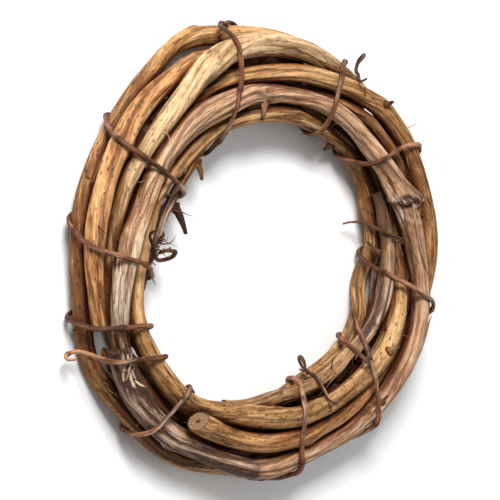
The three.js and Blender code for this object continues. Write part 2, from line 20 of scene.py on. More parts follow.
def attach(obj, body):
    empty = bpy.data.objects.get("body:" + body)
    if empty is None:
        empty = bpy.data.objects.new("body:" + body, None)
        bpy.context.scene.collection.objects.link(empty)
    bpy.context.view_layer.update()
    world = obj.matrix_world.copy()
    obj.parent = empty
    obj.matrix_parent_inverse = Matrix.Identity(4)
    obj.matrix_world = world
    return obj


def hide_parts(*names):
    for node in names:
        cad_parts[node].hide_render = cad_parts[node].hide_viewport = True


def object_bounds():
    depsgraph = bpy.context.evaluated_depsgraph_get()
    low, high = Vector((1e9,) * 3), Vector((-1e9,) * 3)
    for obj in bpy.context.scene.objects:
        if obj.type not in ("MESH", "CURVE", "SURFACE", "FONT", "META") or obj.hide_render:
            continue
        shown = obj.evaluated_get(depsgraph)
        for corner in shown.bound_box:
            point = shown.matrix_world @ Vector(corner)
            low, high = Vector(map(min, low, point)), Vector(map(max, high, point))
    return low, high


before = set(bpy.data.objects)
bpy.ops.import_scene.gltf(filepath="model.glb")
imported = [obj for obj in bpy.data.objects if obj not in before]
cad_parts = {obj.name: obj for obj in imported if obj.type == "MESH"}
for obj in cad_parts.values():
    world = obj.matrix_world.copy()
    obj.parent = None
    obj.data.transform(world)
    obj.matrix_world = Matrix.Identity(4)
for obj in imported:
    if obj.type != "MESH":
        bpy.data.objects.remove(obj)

MM = 0.001
cad_low, cad_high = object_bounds()
print("solid model, mm:", [round(side / MM, 1) for side in cad_high - cad_low])

# %% [markdown]
# ## Reading a cane back from its solid
#
# Every cane goes round the ring, so a half plane that stands on the ring's axis cuts each turn
# of it square across. We turn that half plane round in steps of one degree. Each cut is a small
# closed outline, whose middle is a point of the cane's own line. A twig stub would pull that
# middle aside, so the outline is first drawn in to the size that the cane has nearby.

# %% Corners and triangles of a solid
SAME_PLACE = 1e-4


def solid_mesh(node):
    """Corners (n, 3) in mm and triangles (m, 3) of a node, with corners at one place made one."""
    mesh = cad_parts[node].data
    places = np.empty(len(mesh.vertices) * 3)
    mesh.vertices.foreach_get("co", places)
    mesh.calc_loop_triangles()
    corners = np.empty(len(mesh.loop_triangles) * 3, int)
    mesh.loop_triangles.foreach_get("vertices", corners)
    places = places.reshape(-1, 3) / MM
    rounded = np.round(places / SAME_PLACE).astype(np.int64)
    _, first, which = np.unique(rounded, axis=0, return_index=True, return_inverse=True)
    return places[first], which.reshape(-1)[corners].reshape(-1, 3)


def linked(count, pairs):
    """Group number of each of count things, where pairs (k, 2) says which two belong together:
    every thing takes the lowest number among its partners until nothing changes."""
    group = np.arange(count)
    while True:
        lowest = group[pairs].min(1)
        after = group.copy()
        np.minimum.at(after, pairs, lowest[:, None])
        if (after == group).all():
            return group
        group = after


# %% One cut through a solid
def cut_outlines(places, triangles, angle):
    """Outlines where the half plane at angle (degrees) meets the solid, as a list of (k, 2, 2)
    edges in (radius, height): each triangle that the plane crosses gives one edge, between the
    two points where its sides cross it, found by linear interpolation of the signed distance."""
    turn = np.radians(angle)
    away = places[:, 1] * np.cos(turn) - places[:, 0] * np.sin(turn)
    radius = places[:, 0] * np.cos(turn) + places[:, 1] * np.sin(turn)
    above = away > 0
    crossed = triangles[np.ptp(above[triangles].astype(int), axis=1) > 0]
    sides = np.stack([crossed, np.roll(crossed, -1, axis=1)], -1)
    hit = above[sides[..., 0]] != above[sides[..., 1]]
    sides = np.sort(sides[hit].reshape(-1, 2), axis=1)
    share = away[sides[:, 0]] / (away[sides[:, 0]] - away[sides[:, 1]])
    flat = np.stack([radius, places[:, 2]], -1)
    points = flat[sides[:, 0]] + share[:, None] * (flat[sides[:, 1]] - flat[sides[:, 0]])
    _, which = np.unique(sides, axis=0, return_inverse=True)
    pairs = which.reshape(-1, 2)
    group = linked(len(which), pairs)[pairs[:, 0]]
    edges = points.reshape(-1, 2, 2)
    return [edges[group == g] for g in np.unique(group) if edges[group == g][0, 0, 0] > 0]


def middle_and_size(edges, about=None, reach=None):
    """Middle and mean half width of an outline, from the triangles that its edges make with a
    point inside it. With reach, points farther than that from the point are first drawn in."""
    about = edges.reshape(-1, 2).mean(0) if about is None else about
    arms = edges - about
    if reach is not None:
        length = np.linalg.norm(arms, axis=-1, keepdims=True)
        arms = arms * np.minimum(1, reach / np.maximum(length, SAME_PLACE))
    area = np.abs(arms[:, 0, 0] * arms[:, 1, 1] - arms[:, 0, 1] * arms[:, 1, 0]) / 2
    middle = about + np.average(arms.sum(1) / 3, axis=0, weights=area)
    return middle, np.sqrt(area.sum() / np.pi)


# %% Smoothing a row of numbers
def running_median(values, width):
    """Middle value of each point's neighbours, width of them, with the ends repeated."""
    half = width // 2
    padded = np.concatenate([values[:1]] * half + [values] + [values[-1:]] * half)
    return np.median([padded[k : k + len(values)] for k in range(width)], 0)


def smoothed(values, width):
    """Weighted mean of each point's neighbours under a bell curve of that width in samples. Past
    its ends the row goes on as its own mirror image turned about the end, so slopes stay."""
    reach = min(int(width * 3) + 1, len(values) - 1)
    before = 2 * values[0] - values[reach:0:-1]
    after = 2 * values[-1] - values[-2 : -reach - 2 : -1]
    weights = np.exp(-0.5 * (np.arange(-reach, reach + 1) / width) ** 2)
    return np.convolve(np.concatenate([before, values, after]), weights / weights.sum(), "valid")


# %% Places on the ring
FRONT = np.array([0, 0, 1.0])


def around_ring(angle, radius, height):
    """Points (n, 3) from angle in degrees, radius from the axis and height."""
    turn = np.radians(angle)
    return np.stack([radius * np.cos(turn), radius * np.sin(turn), height + 0 * turn], -1)


def ring_place(places):
    """Angle in degrees, radius from the axis and height of points (..., 3)."""
    x, y, z = np.moveaxis(places, -1, 0)
    return np.degrees(np.arctan2(y, x)), np.hypot(x, y), z


def unit(vectors):
    """The same directions at length 1."""
    return vectors / np.linalg.norm(vectors, axis=-1, keepdims=True)


# %% The flat end of a cane
END_REACH = 4.2
FACES_END = 0.75


def end_plane(places, triangles, middle, outward):
    """Point and direction of the flat end near middle: the mean of the triangles there that
    face outward along the cane, each counted by its area."""
    corners = places[triangles]
    centres = corners.mean(1)
    facing = np.cross(corners[:, 1] - corners[:, 0], corners[:, 2] - corners[:, 0]) / 2
    area = np.linalg.norm(facing, axis=1)
    near = np.linalg.norm(centres - middle, axis=1) < END_REACH
    ends = near & (facing @ outward > FACES_END * area)
    return np.average(centres[ends], axis=0, weights=area[ends]), unit(facing[ends].sum(0))


# %% The line of one cane
SLICE = 1
LONGEST_STEP = 2.2
STUB_WINDOW = 9
STUB_DRAWN_IN = 1.06
END_UNSURE = 3
LINE_STEP, LINE_SOFT = 0.25, 7


def longest_chain(at, middles):
    """Cuts in neighbouring planes whose middles lie close belong to one turn. Returns the
    longest run of such cuts, in order of angle."""
    following = np.full(len(at), -1)
    for k in range(len(at)):
        near = np.flatnonzero(at == (at[k] + SLICE) % 360)
        apart = np.linalg.norm(middles[near] - middles[k], axis=1)
        if len(near) and apart.min() < LONGEST_STEP:
            following[k] = near[apart.argmin()]
    chains = []
    for k in sorted(set(range(len(at))) - set(following)):
        chain = [k]
        while following[chain[-1]] >= 0 and len(chain) < len(at):
            chain.append(following[chain[-1]])
        chains.append(chain)
    return max(chains, key=len)


def cane_line(node):
    """The cane as a table of angle, radius, height and half width, and the planes of its two
    ends. The cuts give it to a degree, and the flat ends say exactly where it stops."""
    places, triangles = solid_mesh(node)
    cuts = [(angle, edges, *middle_and_size(edges)) for angle in range(0, 360, SLICE)
            for edges in cut_outlines(places, triangles, angle + SLICE / 2)]
    at = np.array([cut[0] for cut in cuts])
    chain = longest_chain(at, np.array([cut[2] for cut in cuts]))
    middles, sizes = (running_median(np.array([cuts[k][item] for k in chain]), STUB_WINDOW)
                      for item in (2, 3))
    exact = [middle_and_size(cuts[k][1], middle, size * STUB_DRAWN_IN)
             for k, middle, size in zip(chain, middles, sizes)]
    angles = at[chain[0]] + SLICE / 2 + SLICE * np.arange(len(chain))
    table = np.column_stack([angles, [(*middle, size) for middle, size in exact]])
    table = table[END_UNSURE:-END_UNSURE]
    line = around_ring(*table[:, :3].T)
    planes = []
    for end, inside in ((0, 1), (-1, -2)):
        point, normal = end_plane(places, triangles, line[end], unit(line[end] - line[inside]))
        planes.append((point, normal))
        turn, radius, height = ring_place(point)
        turn += 360 * np.round((table[end, 0] - turn) / 360)
        row = [turn, radius, height, table[end, 3]]
        table = np.vstack([row, table] if end == 0 else [table, row])
    fine = np.arange(table[0, 0], table[-1, 0], LINE_STEP)
    columns = [smoothed(np.interp(fine, table[:, 0], table[:, k]), LINE_SOFT) for k in (1, 2, 3)]
    return np.column_stack([fine, *columns]), planes


canes = {}
for node in sorted(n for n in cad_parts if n.startswith("cane_")):
    line, planes = cane_line(node)
    canes[node] = {"line": line, "planes": planes}
    span = f"{line[0, 0]:.1f} to {line[-1, 0]:.1f} degrees"
    print(f"{node}: {span}, half width {line[:, 3].mean():.2f} mm")

# %% [markdown]
# ## Twig stubs and lumps
#
# Where a side shoot broke off, a short stub is left, and an old node carries a blunt lump. In
# the solids they are fused to their cane, so we look for corners that stand well clear of the
# cane's own skin. Each little group of them is one outgrowth: its six farthest corners are the
# tip.

# %% Places along a cane
def line_at(line, angle):
    """Radius, height and half width at any angle, read off the cane's table."""
    return [np.interp(angle, line[:, 0], line[:, k]) for k in (1, 2, 3)]


def turns_at(line, angle, slack=0.0):
    """For points at angle (degrees, any turn), every turn of the cane that passes there: the
    angle counted on along the cane, or not a number where the cane isn't."""
    first = np.ceil((line[0, 0] - slack - angle) / 360)
    for extra in range(3):
        along = angle + 360 * (first + extra)
        yield np.where(along <= line[-1, 0] + slack, along, np.nan)


def nearest_turn(line, places):
    """For points (..., 3), how far they lie from the cane's line in their own half plane as a
    share of its half width, the same in mm beyond its skin, and the angle along the cane."""
    angle, radius, height = ring_place(places)
    best = np.full((3, *angle.shape), np.inf)
    for along in turns_at(line, angle, slack=END_UNSURE):
        rho, middle, half = line_at(line, along)
        away = np.hypot(radius - rho, height - middle)
        found = np.array([away / half, away - half, along])
        best = np.where(found[0] < best[0], found, best)
    return best


# %% Find the outgrowths of each cane
STANDS_CLEAR = 1.25
TIP_CORNERS = 6
LUMP_HALF, LUMP_REACH = 0.6, 2.0


def outgrowths(node, line):
    """Groups of joined corners farther than STANDS_CLEAR half widths from the cane's line. Each
    gives the angle along the cane, the middle and size of its tip, and the middle of the ring
    of corners before the tip where there is one."""
    places, triangles = solid_mesh(node)
    share, beyond, along = nearest_turn(line, places)
    clear = np.flatnonzero(share > STANDS_CLEAR)
    number = np.full(len(places), -1)
    number[clear] = np.arange(len(clear))
    pairs = number[np.concatenate([triangles[:, :2], triangles[:, 1:]])]
    group = linked(len(clear), pairs[(pairs >= 0).all(1)])
    found = []
    for members in (clear[group == g] for g in np.unique(group)):
        order = members[np.argsort(beyond[members])]
        tip, ring = order[-TIP_CORNERS:], order[-2 * TIP_CORNERS : -TIP_CORNERS]
        middle = places[tip].mean(0)
        if len(tip) == TIP_CORNERS:
            found.append({
                "along": along[order[-1]], "tip": middle, "reach": beyond[tip].mean(),
                "half": np.linalg.norm(places[tip] - middle, axis=1).mean(),
                "before": places[ring].mean(0) if len(ring) == TIP_CORNERS else None,
            })
    return found


for name, cane in canes.items():
    grown = outgrowths(name, cane["line"])
    blunt = [g["half"] > LUMP_HALF and g["reach"] < LUMP_REACH for g in grown]
    cane["lumps"] = [g for g, b in zip(grown, blunt) if b]
    cane["stubs"] = [g for g, b in zip(grown, blunt) if not b]
    print(f"{name}: {len(cane['stubs'])} stubs, {len(cane['lumps'])} lumps")

# %% [markdown]
# ## Bark as a grid
#
# A cane is a tube, so its skin is a grid: rows along the cane and columns round it. Each point
# also carries where it would lie if the cane were pulled straight. The materials draw their
# streaks on those straight places, so the grain follows every bend and meets itself where the
# grid closes. Three more sets of three numbers say what the bark is like there, and how much
# shade is painted on it:
#
# - marks: how knotty, how pale where it peeled, and how grey it is
# - wear (and painted shade): how cracked it is, how much shade is painted on, and 1 where it is
#   sawn wood
# - tint: how dark it is drawn, partly its own tone and partly painted shade, how dotted it is,
#   and the height of its ridges

# %% Noise on a strip
def eased(share):
    """Smooth step from 0 to 1: flat at both ends."""
    share = np.clip(share, 0, 1)
    return share * share * (3 - 2 * share)


def bell(distance, width):
    """Bump of height 1 that fades out over width."""
    return np.exp(-((distance / width) ** 2))


def strip_noise(along, around, cell, cells, random):
    """Smooth noise from 0 to 1 on a strip whose two sides meet. Random values stand at the
    corners of cells that are cell mm long, with cells of them in a turn, and each point blends
    its four corners by smooth steps. along is in mm and around counts turns."""
    down = along / cell
    down = down - np.floor(down.min())
    across = around * cells
    corners = random.random((int(down.max()) + 2, cells))
    i, j = np.floor(down).astype(int), np.floor(across).astype(int)
    u, v = eased(down - i), eased(across - j)
    first, second = (corners[row, j % cells] * (1 - v) + corners[row, (j + 1) % cells] * v
                     for row in (i, i + 1))
    return first * (1 - u) + second * u


# %% The sheet that a skin is drawn on
FIELDS = ("straight", "marks", "wear", "tint")


def walked(path):
    """Length of a path up to each of its points (n, 3), as a column."""
    return np.append(0, np.cumsum(np.linalg.norm(np.diff(path, axis=0), axis=1)))[:, None]


def aim(theta, first, second):
    """Directions turned by theta from first towards second, which is square to it."""
    return np.cos(theta)[..., None] * first + np.sin(theta)[..., None] * second


def strip_of(places, *fields):
    """A grid of points with its four fields. Each field is given as three values, and a value
    may be the same all over."""
    like = 0 * places[..., 0]
    stacked = [np.stack([value + like for value in field], -1) for field in fields]
    return {"places": places, **dict(zip(FIELDS, stacked))}


class Sheet:
    """The rows and columns of a tube. along is mm down the rows, theta the angle round, and
    grain the same in turns, drifting round a little on the way as the fibres of wood do."""

    def __init__(self, along, sides, random=None, drift=0.0):
        self.along, self.random = along, random
        self.theta = (np.arange(sides) / sides * 2 * np.pi)[None, :]
        self.grain = self.theta / (2 * np.pi) + drift * along

    def noise(self, cell, cells):
        """Noise along the grain, of cells that long in mm and that many in a turn."""
        return strip_noise(self.along, self.grain, cell, cells, self.random)

    def slow(self, cell):
        """Noise that is the same all round."""
        return strip_noise(self.along, 0 * self.along, cell, 1, self.random)

    def around(self, path, width, first, second):
        """Points at that half width round a path, and the directions in which they lie from it:
        first and second are square to the path, and theta turns from the one to the other."""
        arms = aim(self.theta, first[:, None], second[:, None])
        return path[:, None] + width[..., None] * arms, arms

    def straight(self, width):
        """The points of a skin of that half width, on the tube pulled straight."""
        turned = self.grain * 2 * np.pi
        return self.along, width * np.cos(turned), width * np.sin(turned)


# %% Closing a grid into a solid skin
CAP_SHARES = np.array([0.985, 0.93, 0.8, 0.62, 0.44, 0.26, 0.1])
RAG_SHARES = np.array([0.5])
SAW_MARK, SAW_WAVES, SAWN_SHARE = 0.04, 19, 0.95


def capped(strip, sawn=(False, False), shares=CAP_SHARES):
    """Adds the two ends of a tube: more rows, each the last one drawn in towards its middle by
    a share, with low ripples outward. On a sawn end marks.x holds that share and wear.z is 1,
    and any other end is broken and dark, with marks.x 1."""
    share = shares[:, None, None]
    ends = []
    for end, inside, fresh in ((0, 1, sawn[0]), (-1, -2, sawn[1])):
        rim = strip["places"][end]
        middle = rim.mean(0)
        outward = middle - strip["places"][inside].mean(0)
        outward /= max(np.linalg.norm(outward), SAME_PLACE)
        ripple = SAW_MARK * np.sin(share * SAW_WAVES) * (share < SAWN_SHARE)
        places = middle + (rim - middle) * share + ripple * outward
        along, wide, deep = strip["straight"][end].T
        straight = along, wide * share[..., 0], deep * share[..., 0]
        marks = (share[..., 0] if fresh else 1, 0, 0)
        ends.append(strip_of(places, straight, marks, (0, 0, float(fresh)), (0, 0, 0)))
    return {key: np.concatenate([ends[0][key][::-1], grid, ends[1][key]])
            for key, grid in strip.items()}


def closed_faces(rows, sides):
    """Four-cornered faces of a tube with a middle point at each end. The last row meets its
    middle point in faces that span two columns, so sides is even."""
    i, j = np.meshgrid(np.arange(rows - 1), np.arange(sides), indexing="ij")
    a, b = i * sides + j, i * sides + (j + 1) % sides
    walls = np.stack([a, b, b + sides, a + sides], -1).reshape(-1, 4)
    first = np.arange(0, sides, 2)
    three = np.stack([first, first + 1, (first + 2) % sides], -1)
    start = np.insert(three[:, ::-1], 0, rows * sides, axis=1)
    finish = np.insert(three + (rows - 1) * sides, 0, rows * sides + 1, axis=1)
    return np.concatenate([walls, start, finish])


def placed(name, data):
    """A new object in the scene for a mesh, a lamp or a camera."""
    made = bpy.data.objects.new(name, data)
    bpy.context.scene.collection.objects.link(made)
    return made


def piece(name, strips, material, slot, stands_for):
    """One object from closed strips: their grids, with the mean of each end row as its middle
    point, become one mesh, which rides on the part and takes the place of its solid."""
    faces, count = [], 0
    for strip in strips:
        rows, sides = strip["places"].shape[:2]
        faces.append(closed_faces(rows, sides) + count)
        count += rows * sides + 2
    points = {key: np.concatenate([part for strip in strips for part in (
        strip[key].reshape(-1, 3), strip[key][[0, -1]].mean(1))]) for key in strips[0]}
    mesh = bpy.data.meshes.new(name)
    mesh.from_pydata(points["places"] * MM, [], np.concatenate(faces))
    for key in FIELDS:
        layer = mesh.attributes.new(key, "FLOAT_VECTOR", "POINT")
        layer.data.foreach_set("vector", points[key].astype(np.float32).ravel())
    mesh.shade_smooth()
    mesh.materials.append(material)
    made = placed(name, mesh)
    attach(made, "root")
    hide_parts(stands_for)
    print(f"{name}: {len(mesh.polygons) * 2} triangles")

# %% [markdown]
# ## Painted shade between the canes
#
# Where two canes press together, and deep in the bundle, little light reaches the bark, so the
# colour is drawn darker there: this is painted shade. Two measures say how dark a point is
# drawn. One is the gap to the nearest other turn of a cane, each turn being a circle in the
# point's own half plane. The other is how much wood there is in a ball in front of the point.

# %% Gap to the nearest other cane
FULL_WIDTH = 1.05  # the corners of a solid stand a little out from its mean half width
OWN_TURN = 60
CREVICE, CREVICE_POWER = 1.9, 1.6


# Painted shade: how dark the bark is drawn where another cane lies close.
def crevice(places, own=None, own_angle=None):
    """From 0 in the open to 1 where another cane touches: falls off with the gap over CREVICE
    mm. own names the cane that the points belong to, whose same turn doesn't count."""
    angle, radius, height = ring_place(places)
    gap = np.full(angle.shape, CREVICE)
    for name, cane in canes.items():
        for along in turns_at(cane["line"], angle):
            rho, middle, half = line_at(cane["line"], along)
            apart = np.hypot(radius - rho, height - middle) - half * FULL_WIDTH
            other = np.isfinite(along)
            if name == own:
                other = other & (np.abs(along - own_angle) >= OWN_TURN)
            gap = np.where(other, np.minimum(gap, np.maximum(apart, 0)), gap)
    return (1 - gap / CREVICE) ** CREVICE_POWER


# %% Wood in front of a point
LATTICE, LATTICE_MARGIN = 0.8, 6
BALL = 2
AHEAD = 2.0
CROWD_LOW, CROWD_HIGH = 0.13, 0.62


def beyond_skin(places):
    """How far points (..., 3) lie beyond the skin of the nearest cane, in mm."""
    return np.min([nearest_turn(cane["line"], places)[1] for cane in canes.values()], axis=0)


def crowd_lattice():
    """Share of wood round each point of a lattice: 1 inside a cane and 0 outside, then three
    times the mean over a cube of 2 BALL + 1 points a side, which comes close to a ball."""
    low, high = np.array(cad_low) / MM - LATTICE_MARGIN, np.array(cad_high) / MM + LATTICE_MARGIN
    axes = [np.arange(a, b, LATTICE) for a, b in zip(low, high)]
    grid = np.stack(np.meshgrid(*axes, indexing="ij"), -1)
    wood = np.clip(0.5 - beyond_skin(grid) / LATTICE, 0, 1)
    side = 2 * BALL + 1
    for axis in (0, 1, 2) * 3:
        pad = [(BALL + 1, BALL) if k == axis else (0, 0) for k in range(3)]
        total = np.cumsum(np.pad(wood, pad), axis=axis)
        first = np.arange(wood.shape[axis])
        wood = (np.take(total, first + side, axis) - np.take(total, first, axis)) / side
    return low, wood


# Painted shade: how dark the bark is drawn deep in the bundle.
def crowded(places, outward):
    """From 0 in the open to 1 deep in the bundle: the lattice's value AHEAD mm in front of each
    point, blended from its eight nearest lattice points."""
    low, wood = crowd
    at = np.clip((places + AHEAD * outward - low) / LATTICE, 0, np.array(wood.shape) - 1.001)
    corner = at.astype(int)
    value = 0
    for step in np.ndindex(2, 2, 2):
        weight = np.where(step, at - corner, 1 - (at - corner)).prod(-1)
        value = value + weight * wood[tuple(np.moveaxis(corner + step, -1, 0))]
    return eased((value - CROWD_LOW) / (CROWD_HIGH - CROWD_LOW))


crowd = crowd_lattice()
every_line = np.concatenate([cane["line"] for cane in canes.values()])
CORE_RADIUS, CORE_HEIGHT = every_line[:, 1].mean(), every_line[:, 2].mean()
print("lattice", crowd[1].shape, "wood share up to", crowd[1].max().round(2))

# %% [markdown]
# ## The skin of a cane
#
# Grapevine bark swells at the nodes where leaves stood, with a lip and an old bud scar. Between
# the nodes it is finely ridged, a little oval, furrowed along its length, and split by long
# narrow cracks on the older canes. We could sculpt this by hand, but there is a lot of it and
# none of it repeats, so every feature is a formula of the place along and round the cane, and
# what it gives is added to the half width.

# %% Ridges, cracks and furrows
# Each noise is given as the length of its cells and how many of them stand in a turn.
BROAD, RIDGES = (13, 8), (13, 19)
CRACKS, CRACKED_HERE = (26, 7), (18, 4)
CRACK_DEPTH, CRACK_WIDTH = 0.16, 0.13
BROAD_HEIGHT, RIDGE_HEIGHT, WEATHERED = 1.1, 0.8, 2.4
FURROW, FURROW_WIDTH, FURROW_DARK = 0.2, 0.28, 0.8
FURROW_SIDES = np.radians([-62, -22, 18, 60, 150, 240])
WANDER, WANDER_CELL, SWITCH_CELL = 1.1, 30, 34
# Where another noise passes this value, cracks and furrows set in, over that much more.
SET_IN, SET_IN_OVER = 0.45, 0.2


def turned_from(theta, side):
    """Angle from side to theta, from minus pi to pi."""
    return np.angle(np.exp(1j * (theta - side)))


def furrows(sheet):
    """From 0 to 1 in lengthwise furrows that wander a little and come and go."""
    depth = 0
    for side in FURROW_SIDES:
        wander = WANDER * (sheet.slow(WANDER_CELL) - 0.5)
        on = eased((sheet.slow(SWITCH_CELL) - SET_IN) / SET_IN_OVER)
        middle = side + wander + 0.3 * sheet.random.normal()
        away = turned_from(sheet.theta, middle) * sheet.half
        depth = np.maximum(depth, on * bell(away, FURROW_WIDTH))
    return depth


def add_grain(sheet, look):
    """Broad and fine ridges of noise, higher where the bark is grey and weathered, less cracks
    along the level lines of slower noise, less the furrows."""
    broad, sheet.ridges = sheet.noise(*BROAD) - 0.5, sheet.noise(*RIDGES) - 0.5
    level = np.abs(sheet.noise(*CRACKS) * 2 - 1)
    open_here = eased((sheet.noise(*CRACKED_HERE) - SET_IN) / SET_IN_OVER)
    crack = bell(level, CRACK_WIDTH) * open_here * look["cracked"]
    furrow = furrows(sheet)
    fine = (RIDGE_HEIGHT + WEATHERED * sheet.grey) * sheet.ridges
    sheet.skin += look["rough"] * (BROAD_HEIGHT * broad + fine)
    sheet.skin -= CRACK_DEPTH * crack + FURROW * furrow
    sheet.crack = np.maximum(crack, FURROW_DARK * furrow)


# %% Nodes and bud scars
NODE_APART, NODE_SHARE = 38, 1.014
NODE_SOFT, NODE_MEAN, NODE_WINDOW = 8, 48, 40  # in steps of the cane's table
NODE_LIP, NODE_LIP_AT, NODE_LIP_LENGTH = 0.12, 0.4, 0.8
NODE_HOLLOW, NODE_HOLLOW_AT, NODE_HOLLOW_LENGTH = 0.08, -0.9, 0.7
SCAR_AT, SCAR_HEIGHT, SCAR_WIDTH = 1.2, 0.35, 1.1
PIT_DEPTH, PIT_WIDTH = 0.45, 0.45


def node_places(line):
    """Angles where the solid swells: peaks of its half width over the mean of 12 degrees."""
    share = smoothed(line[:, 3], NODE_SOFT) / smoothed(line[:, 3], NODE_MEAN)
    kept = []
    for k in range(NODE_WINDOW, len(share) - NODE_WINDOW):
        top = share[k - NODE_WINDOW : k + NODE_WINDOW + 1].max()
        if share[k] > NODE_SHARE and share[k] == top:
            if not kept or line[k, 0] - kept[-1] > NODE_APART:
                kept.append(line[k, 0])
    return kept


def add_nodes(sheet, line):
    """A lip across each node, highest on the side of its bud, with a hollow before it and a
    round scar with a pit beyond it. The buds stand on opposite sides in turn."""
    random = sheet.random
    side = random.random() * 2 * np.pi
    for place in node_places(line):
        side += np.pi + random.normal(0, 0.5)
        turned = turned_from(sheet.theta, side)
        down = sheet.past(place) + 0.5 * np.cos(turned) + 1.2 * (sheet.noise(6, 5) - 0.5)
        lip = bell(down - NODE_LIP_AT, NODE_LIP_LENGTH) * eased(0.55 + 0.45 * np.cos(turned))
        away = np.hypot(down - SCAR_AT, turned * sheet.half)
        hollow = bell(down - NODE_HOLLOW_AT, NODE_HOLLOW_LENGTH)
        sheet.skin += NODE_LIP * lip - NODE_HOLLOW * hollow
        sheet.skin += SCAR_HEIGHT * bell(away, SCAR_WIDTH) - PIT_DEPTH * bell(away, PIT_WIDTH)
        sheet.knot = np.maximum(sheet.knot, np.maximum(0.35 * lip, 0.9 * bell(away, 0.7)))


# %% The lump on an old node
FULL_LUMP, LUMP_POWER = 1.6, 1.5
LEDGE_SLOPE, LEDGE_DROP, LEDGE_WIDTH = 8, 1.5, 6.5
LEDGE_SIDE, LEDGE_HEIGHT, LEDGE_RAGGED = 0.6, 1.05, 0.55
GNARL, GNARL_CELLS, SHRED_CELLS = 0.9, (1.3, 13), (5, 17)
NECK_DEPTH, NECK_AT, NECK_LENGTH = 0.5, -3.4, 2.0


def add_lump(sheet, line, lump):
    """A lump rises slowly along the cane and drops in a ragged ledge, with gnarled wood round
    it, dark in its hollows and pale on its tops, and a thinner neck before it."""
    rho, height, half = line_at(line, lump["along"])
    size = (lump["reach"] / FULL_LUMP) ** LUMP_POWER
    _, radius, tip_height = ring_place(lump["tip"])
    facing = np.arctan2(radius - rho, tip_height - height) - LEDGE_SIDE * size
    turned = turned_from(sheet.theta, facing) * half
    gnarl, shred = sheet.noise(*GNARL_CELLS) - 0.5, sheet.noise(*SHRED_CELLS) - 0.5
    down = sheet.past(lump["along"]) + 0.25 * turned + 1.4 * shred
    rise = np.where(down > 0, eased(1 - down / LEDGE_SLOPE), eased(1 + down / LEDGE_DROP))
    over = size * bell(turned, LEDGE_WIDTH * (0.3 + 0.7 * size**2))
    near = over * bell(down - 0.5, 2.2)
    sheet.skin += (LEDGE_HEIGHT + LEDGE_RAGGED * shred) * rise * over + GNARL * gnarl * near
    sheet.skin -= NECK_DEPTH * over * bell(down - NECK_AT, NECK_LENGTH)
    hollow, top = eased(-gnarl / 0.3), eased((gnarl - 0.1) / 0.2)
    sheet.knot = np.maximum(sheet.knot, over * bell(down + 0.7, 0.6) + 1.1 * near * hollow)
    scar = np.maximum(0.42 * over * bell(down - 4.5, 3.2), 0.9 * near * top)
    sheet.pale = np.maximum(sheet.pale, scar)
    sheet.grey = np.maximum(sheet.grey, 0.75 * near)


# %% Skin of one cane
ROW_STEP = 0.6
CANE_SIDES = 52
GRAIN_DRIFT = 0.006
END_SHEAR = 5
TORN_LENGTH, TORN, TORN_THINNER, TORN_CELLS = 4.0, 1.6, 0.12, (9, 15)
OVAL_CELL = 38
CROWD_DARK = 0.8


class CaneSheet(Sheet):
    """The sheet of a cane, which also knows the cane's line and what its bark is like."""

    def __init__(self, line, look, random):
        self.angle = np.append(np.arange(line[0, 0], line[-1, 0], ROW_STEP), line[-1, 0])
        rho, height, half = line_at(line, self.angle)
        self.middle = around_ring(self.angle, rho, height)
        super().__init__(walked(self.middle), CANE_SIDES, random, GRAIN_DRIFT)
        self.forward = unit(np.gradient(self.middle, axis=0))
        self.half = half[:, None]
        slow = self.slow(OVAL_CELL) * 2 * np.pi
        self.skin = self.half * FULL_WIDTH * (1 + look["oval"] * np.cos(2 * (self.theta - slow)))
        self.knot = 0 * self.skin
        angles, *tales = np.array(look["tale"], float).T
        self.grey, self.pale, self.dark, self.dots = (
            np.interp(self.angle, angles, tale)[:, None] for tale in tales)

    def past(self, angle):
        """How far each row lies past the cane's angle, in mm."""
        return self.along - np.interp(angle, self.angle, self.along[:, 0])


def torn_end(sheet, row):
    """Thins the cane towards its torn end and says how far each strand is drawn out there."""
    fade = eased(1 - np.abs(sheet.along - sheet.along[row]) / TORN_LENGTH)
    shred = sheet.noise(*TORN_CELLS) - 0.4
    sheet.skin = sheet.skin * (1 - TORN_THINNER * fade)
    sheet.knot = np.maximum(sheet.knot, 0.7 * fade)
    return fade * TORN * shred * (-1 if row == 0 else 1)


def cane_skin(name, look, random):
    """Grid of the bark: the cane's line, the half width with all that was added to it, and the
    last rows moved along the cane until they lie in the plane of its flat end."""
    cane = canes[name]
    sheet = CaneSheet(cane["line"], look, random)
    add_grain(sheet, look)
    add_nodes(sheet, cane["line"])
    for lump in cane["lumps"]:
        add_lump(sheet, cane["line"], lump)
    drawn_out = torn_end(sheet, look["torn"]) if "torn" in look else 0
    up = around_ring(sheet.angle, 1, 0)
    places, arms = sheet.around(sheet.middle, sheet.skin, FRONT + 0 * up, up)
    for end, (point, normal) in zip((0, -1), cane["planes"]):
        short = ((point - places[end]) @ normal) / (sheet.forward[end] @ normal)
        fade = eased(1 - np.abs(sheet.along - sheet.along[end]) / END_SHEAR)
        places = places + (fade * short)[..., None] * sheet.forward[:, None]
    places = places + (drawn_out + 0 * sheet.skin)[..., None] * sheet.forward[:, None]
    places[..., 2] = np.maximum(places[..., 2], 0)
    # Painted shade on the cane: darker near other canes and deep in the bundle.
    open_air = 1 - crevice(places, name, sheet.angle[:, None])
    open_air = open_air * (1 - CROWD_DARK * crowded(places, arms))
    cane["sheet"] = sheet
    marks = (np.clip(sheet.knot, 0, 1), sheet.pale, sheet.grey)
    wear, tint = (sheet.crack, 1 - open_air, 0), (sheet.dark, sheet.dots, sheet.ridges)
    strip = strip_of(places, sheet.straight(sheet.skin), marks, wear, tint)
    return capped(strip, look.get("sawn", (False, False)))

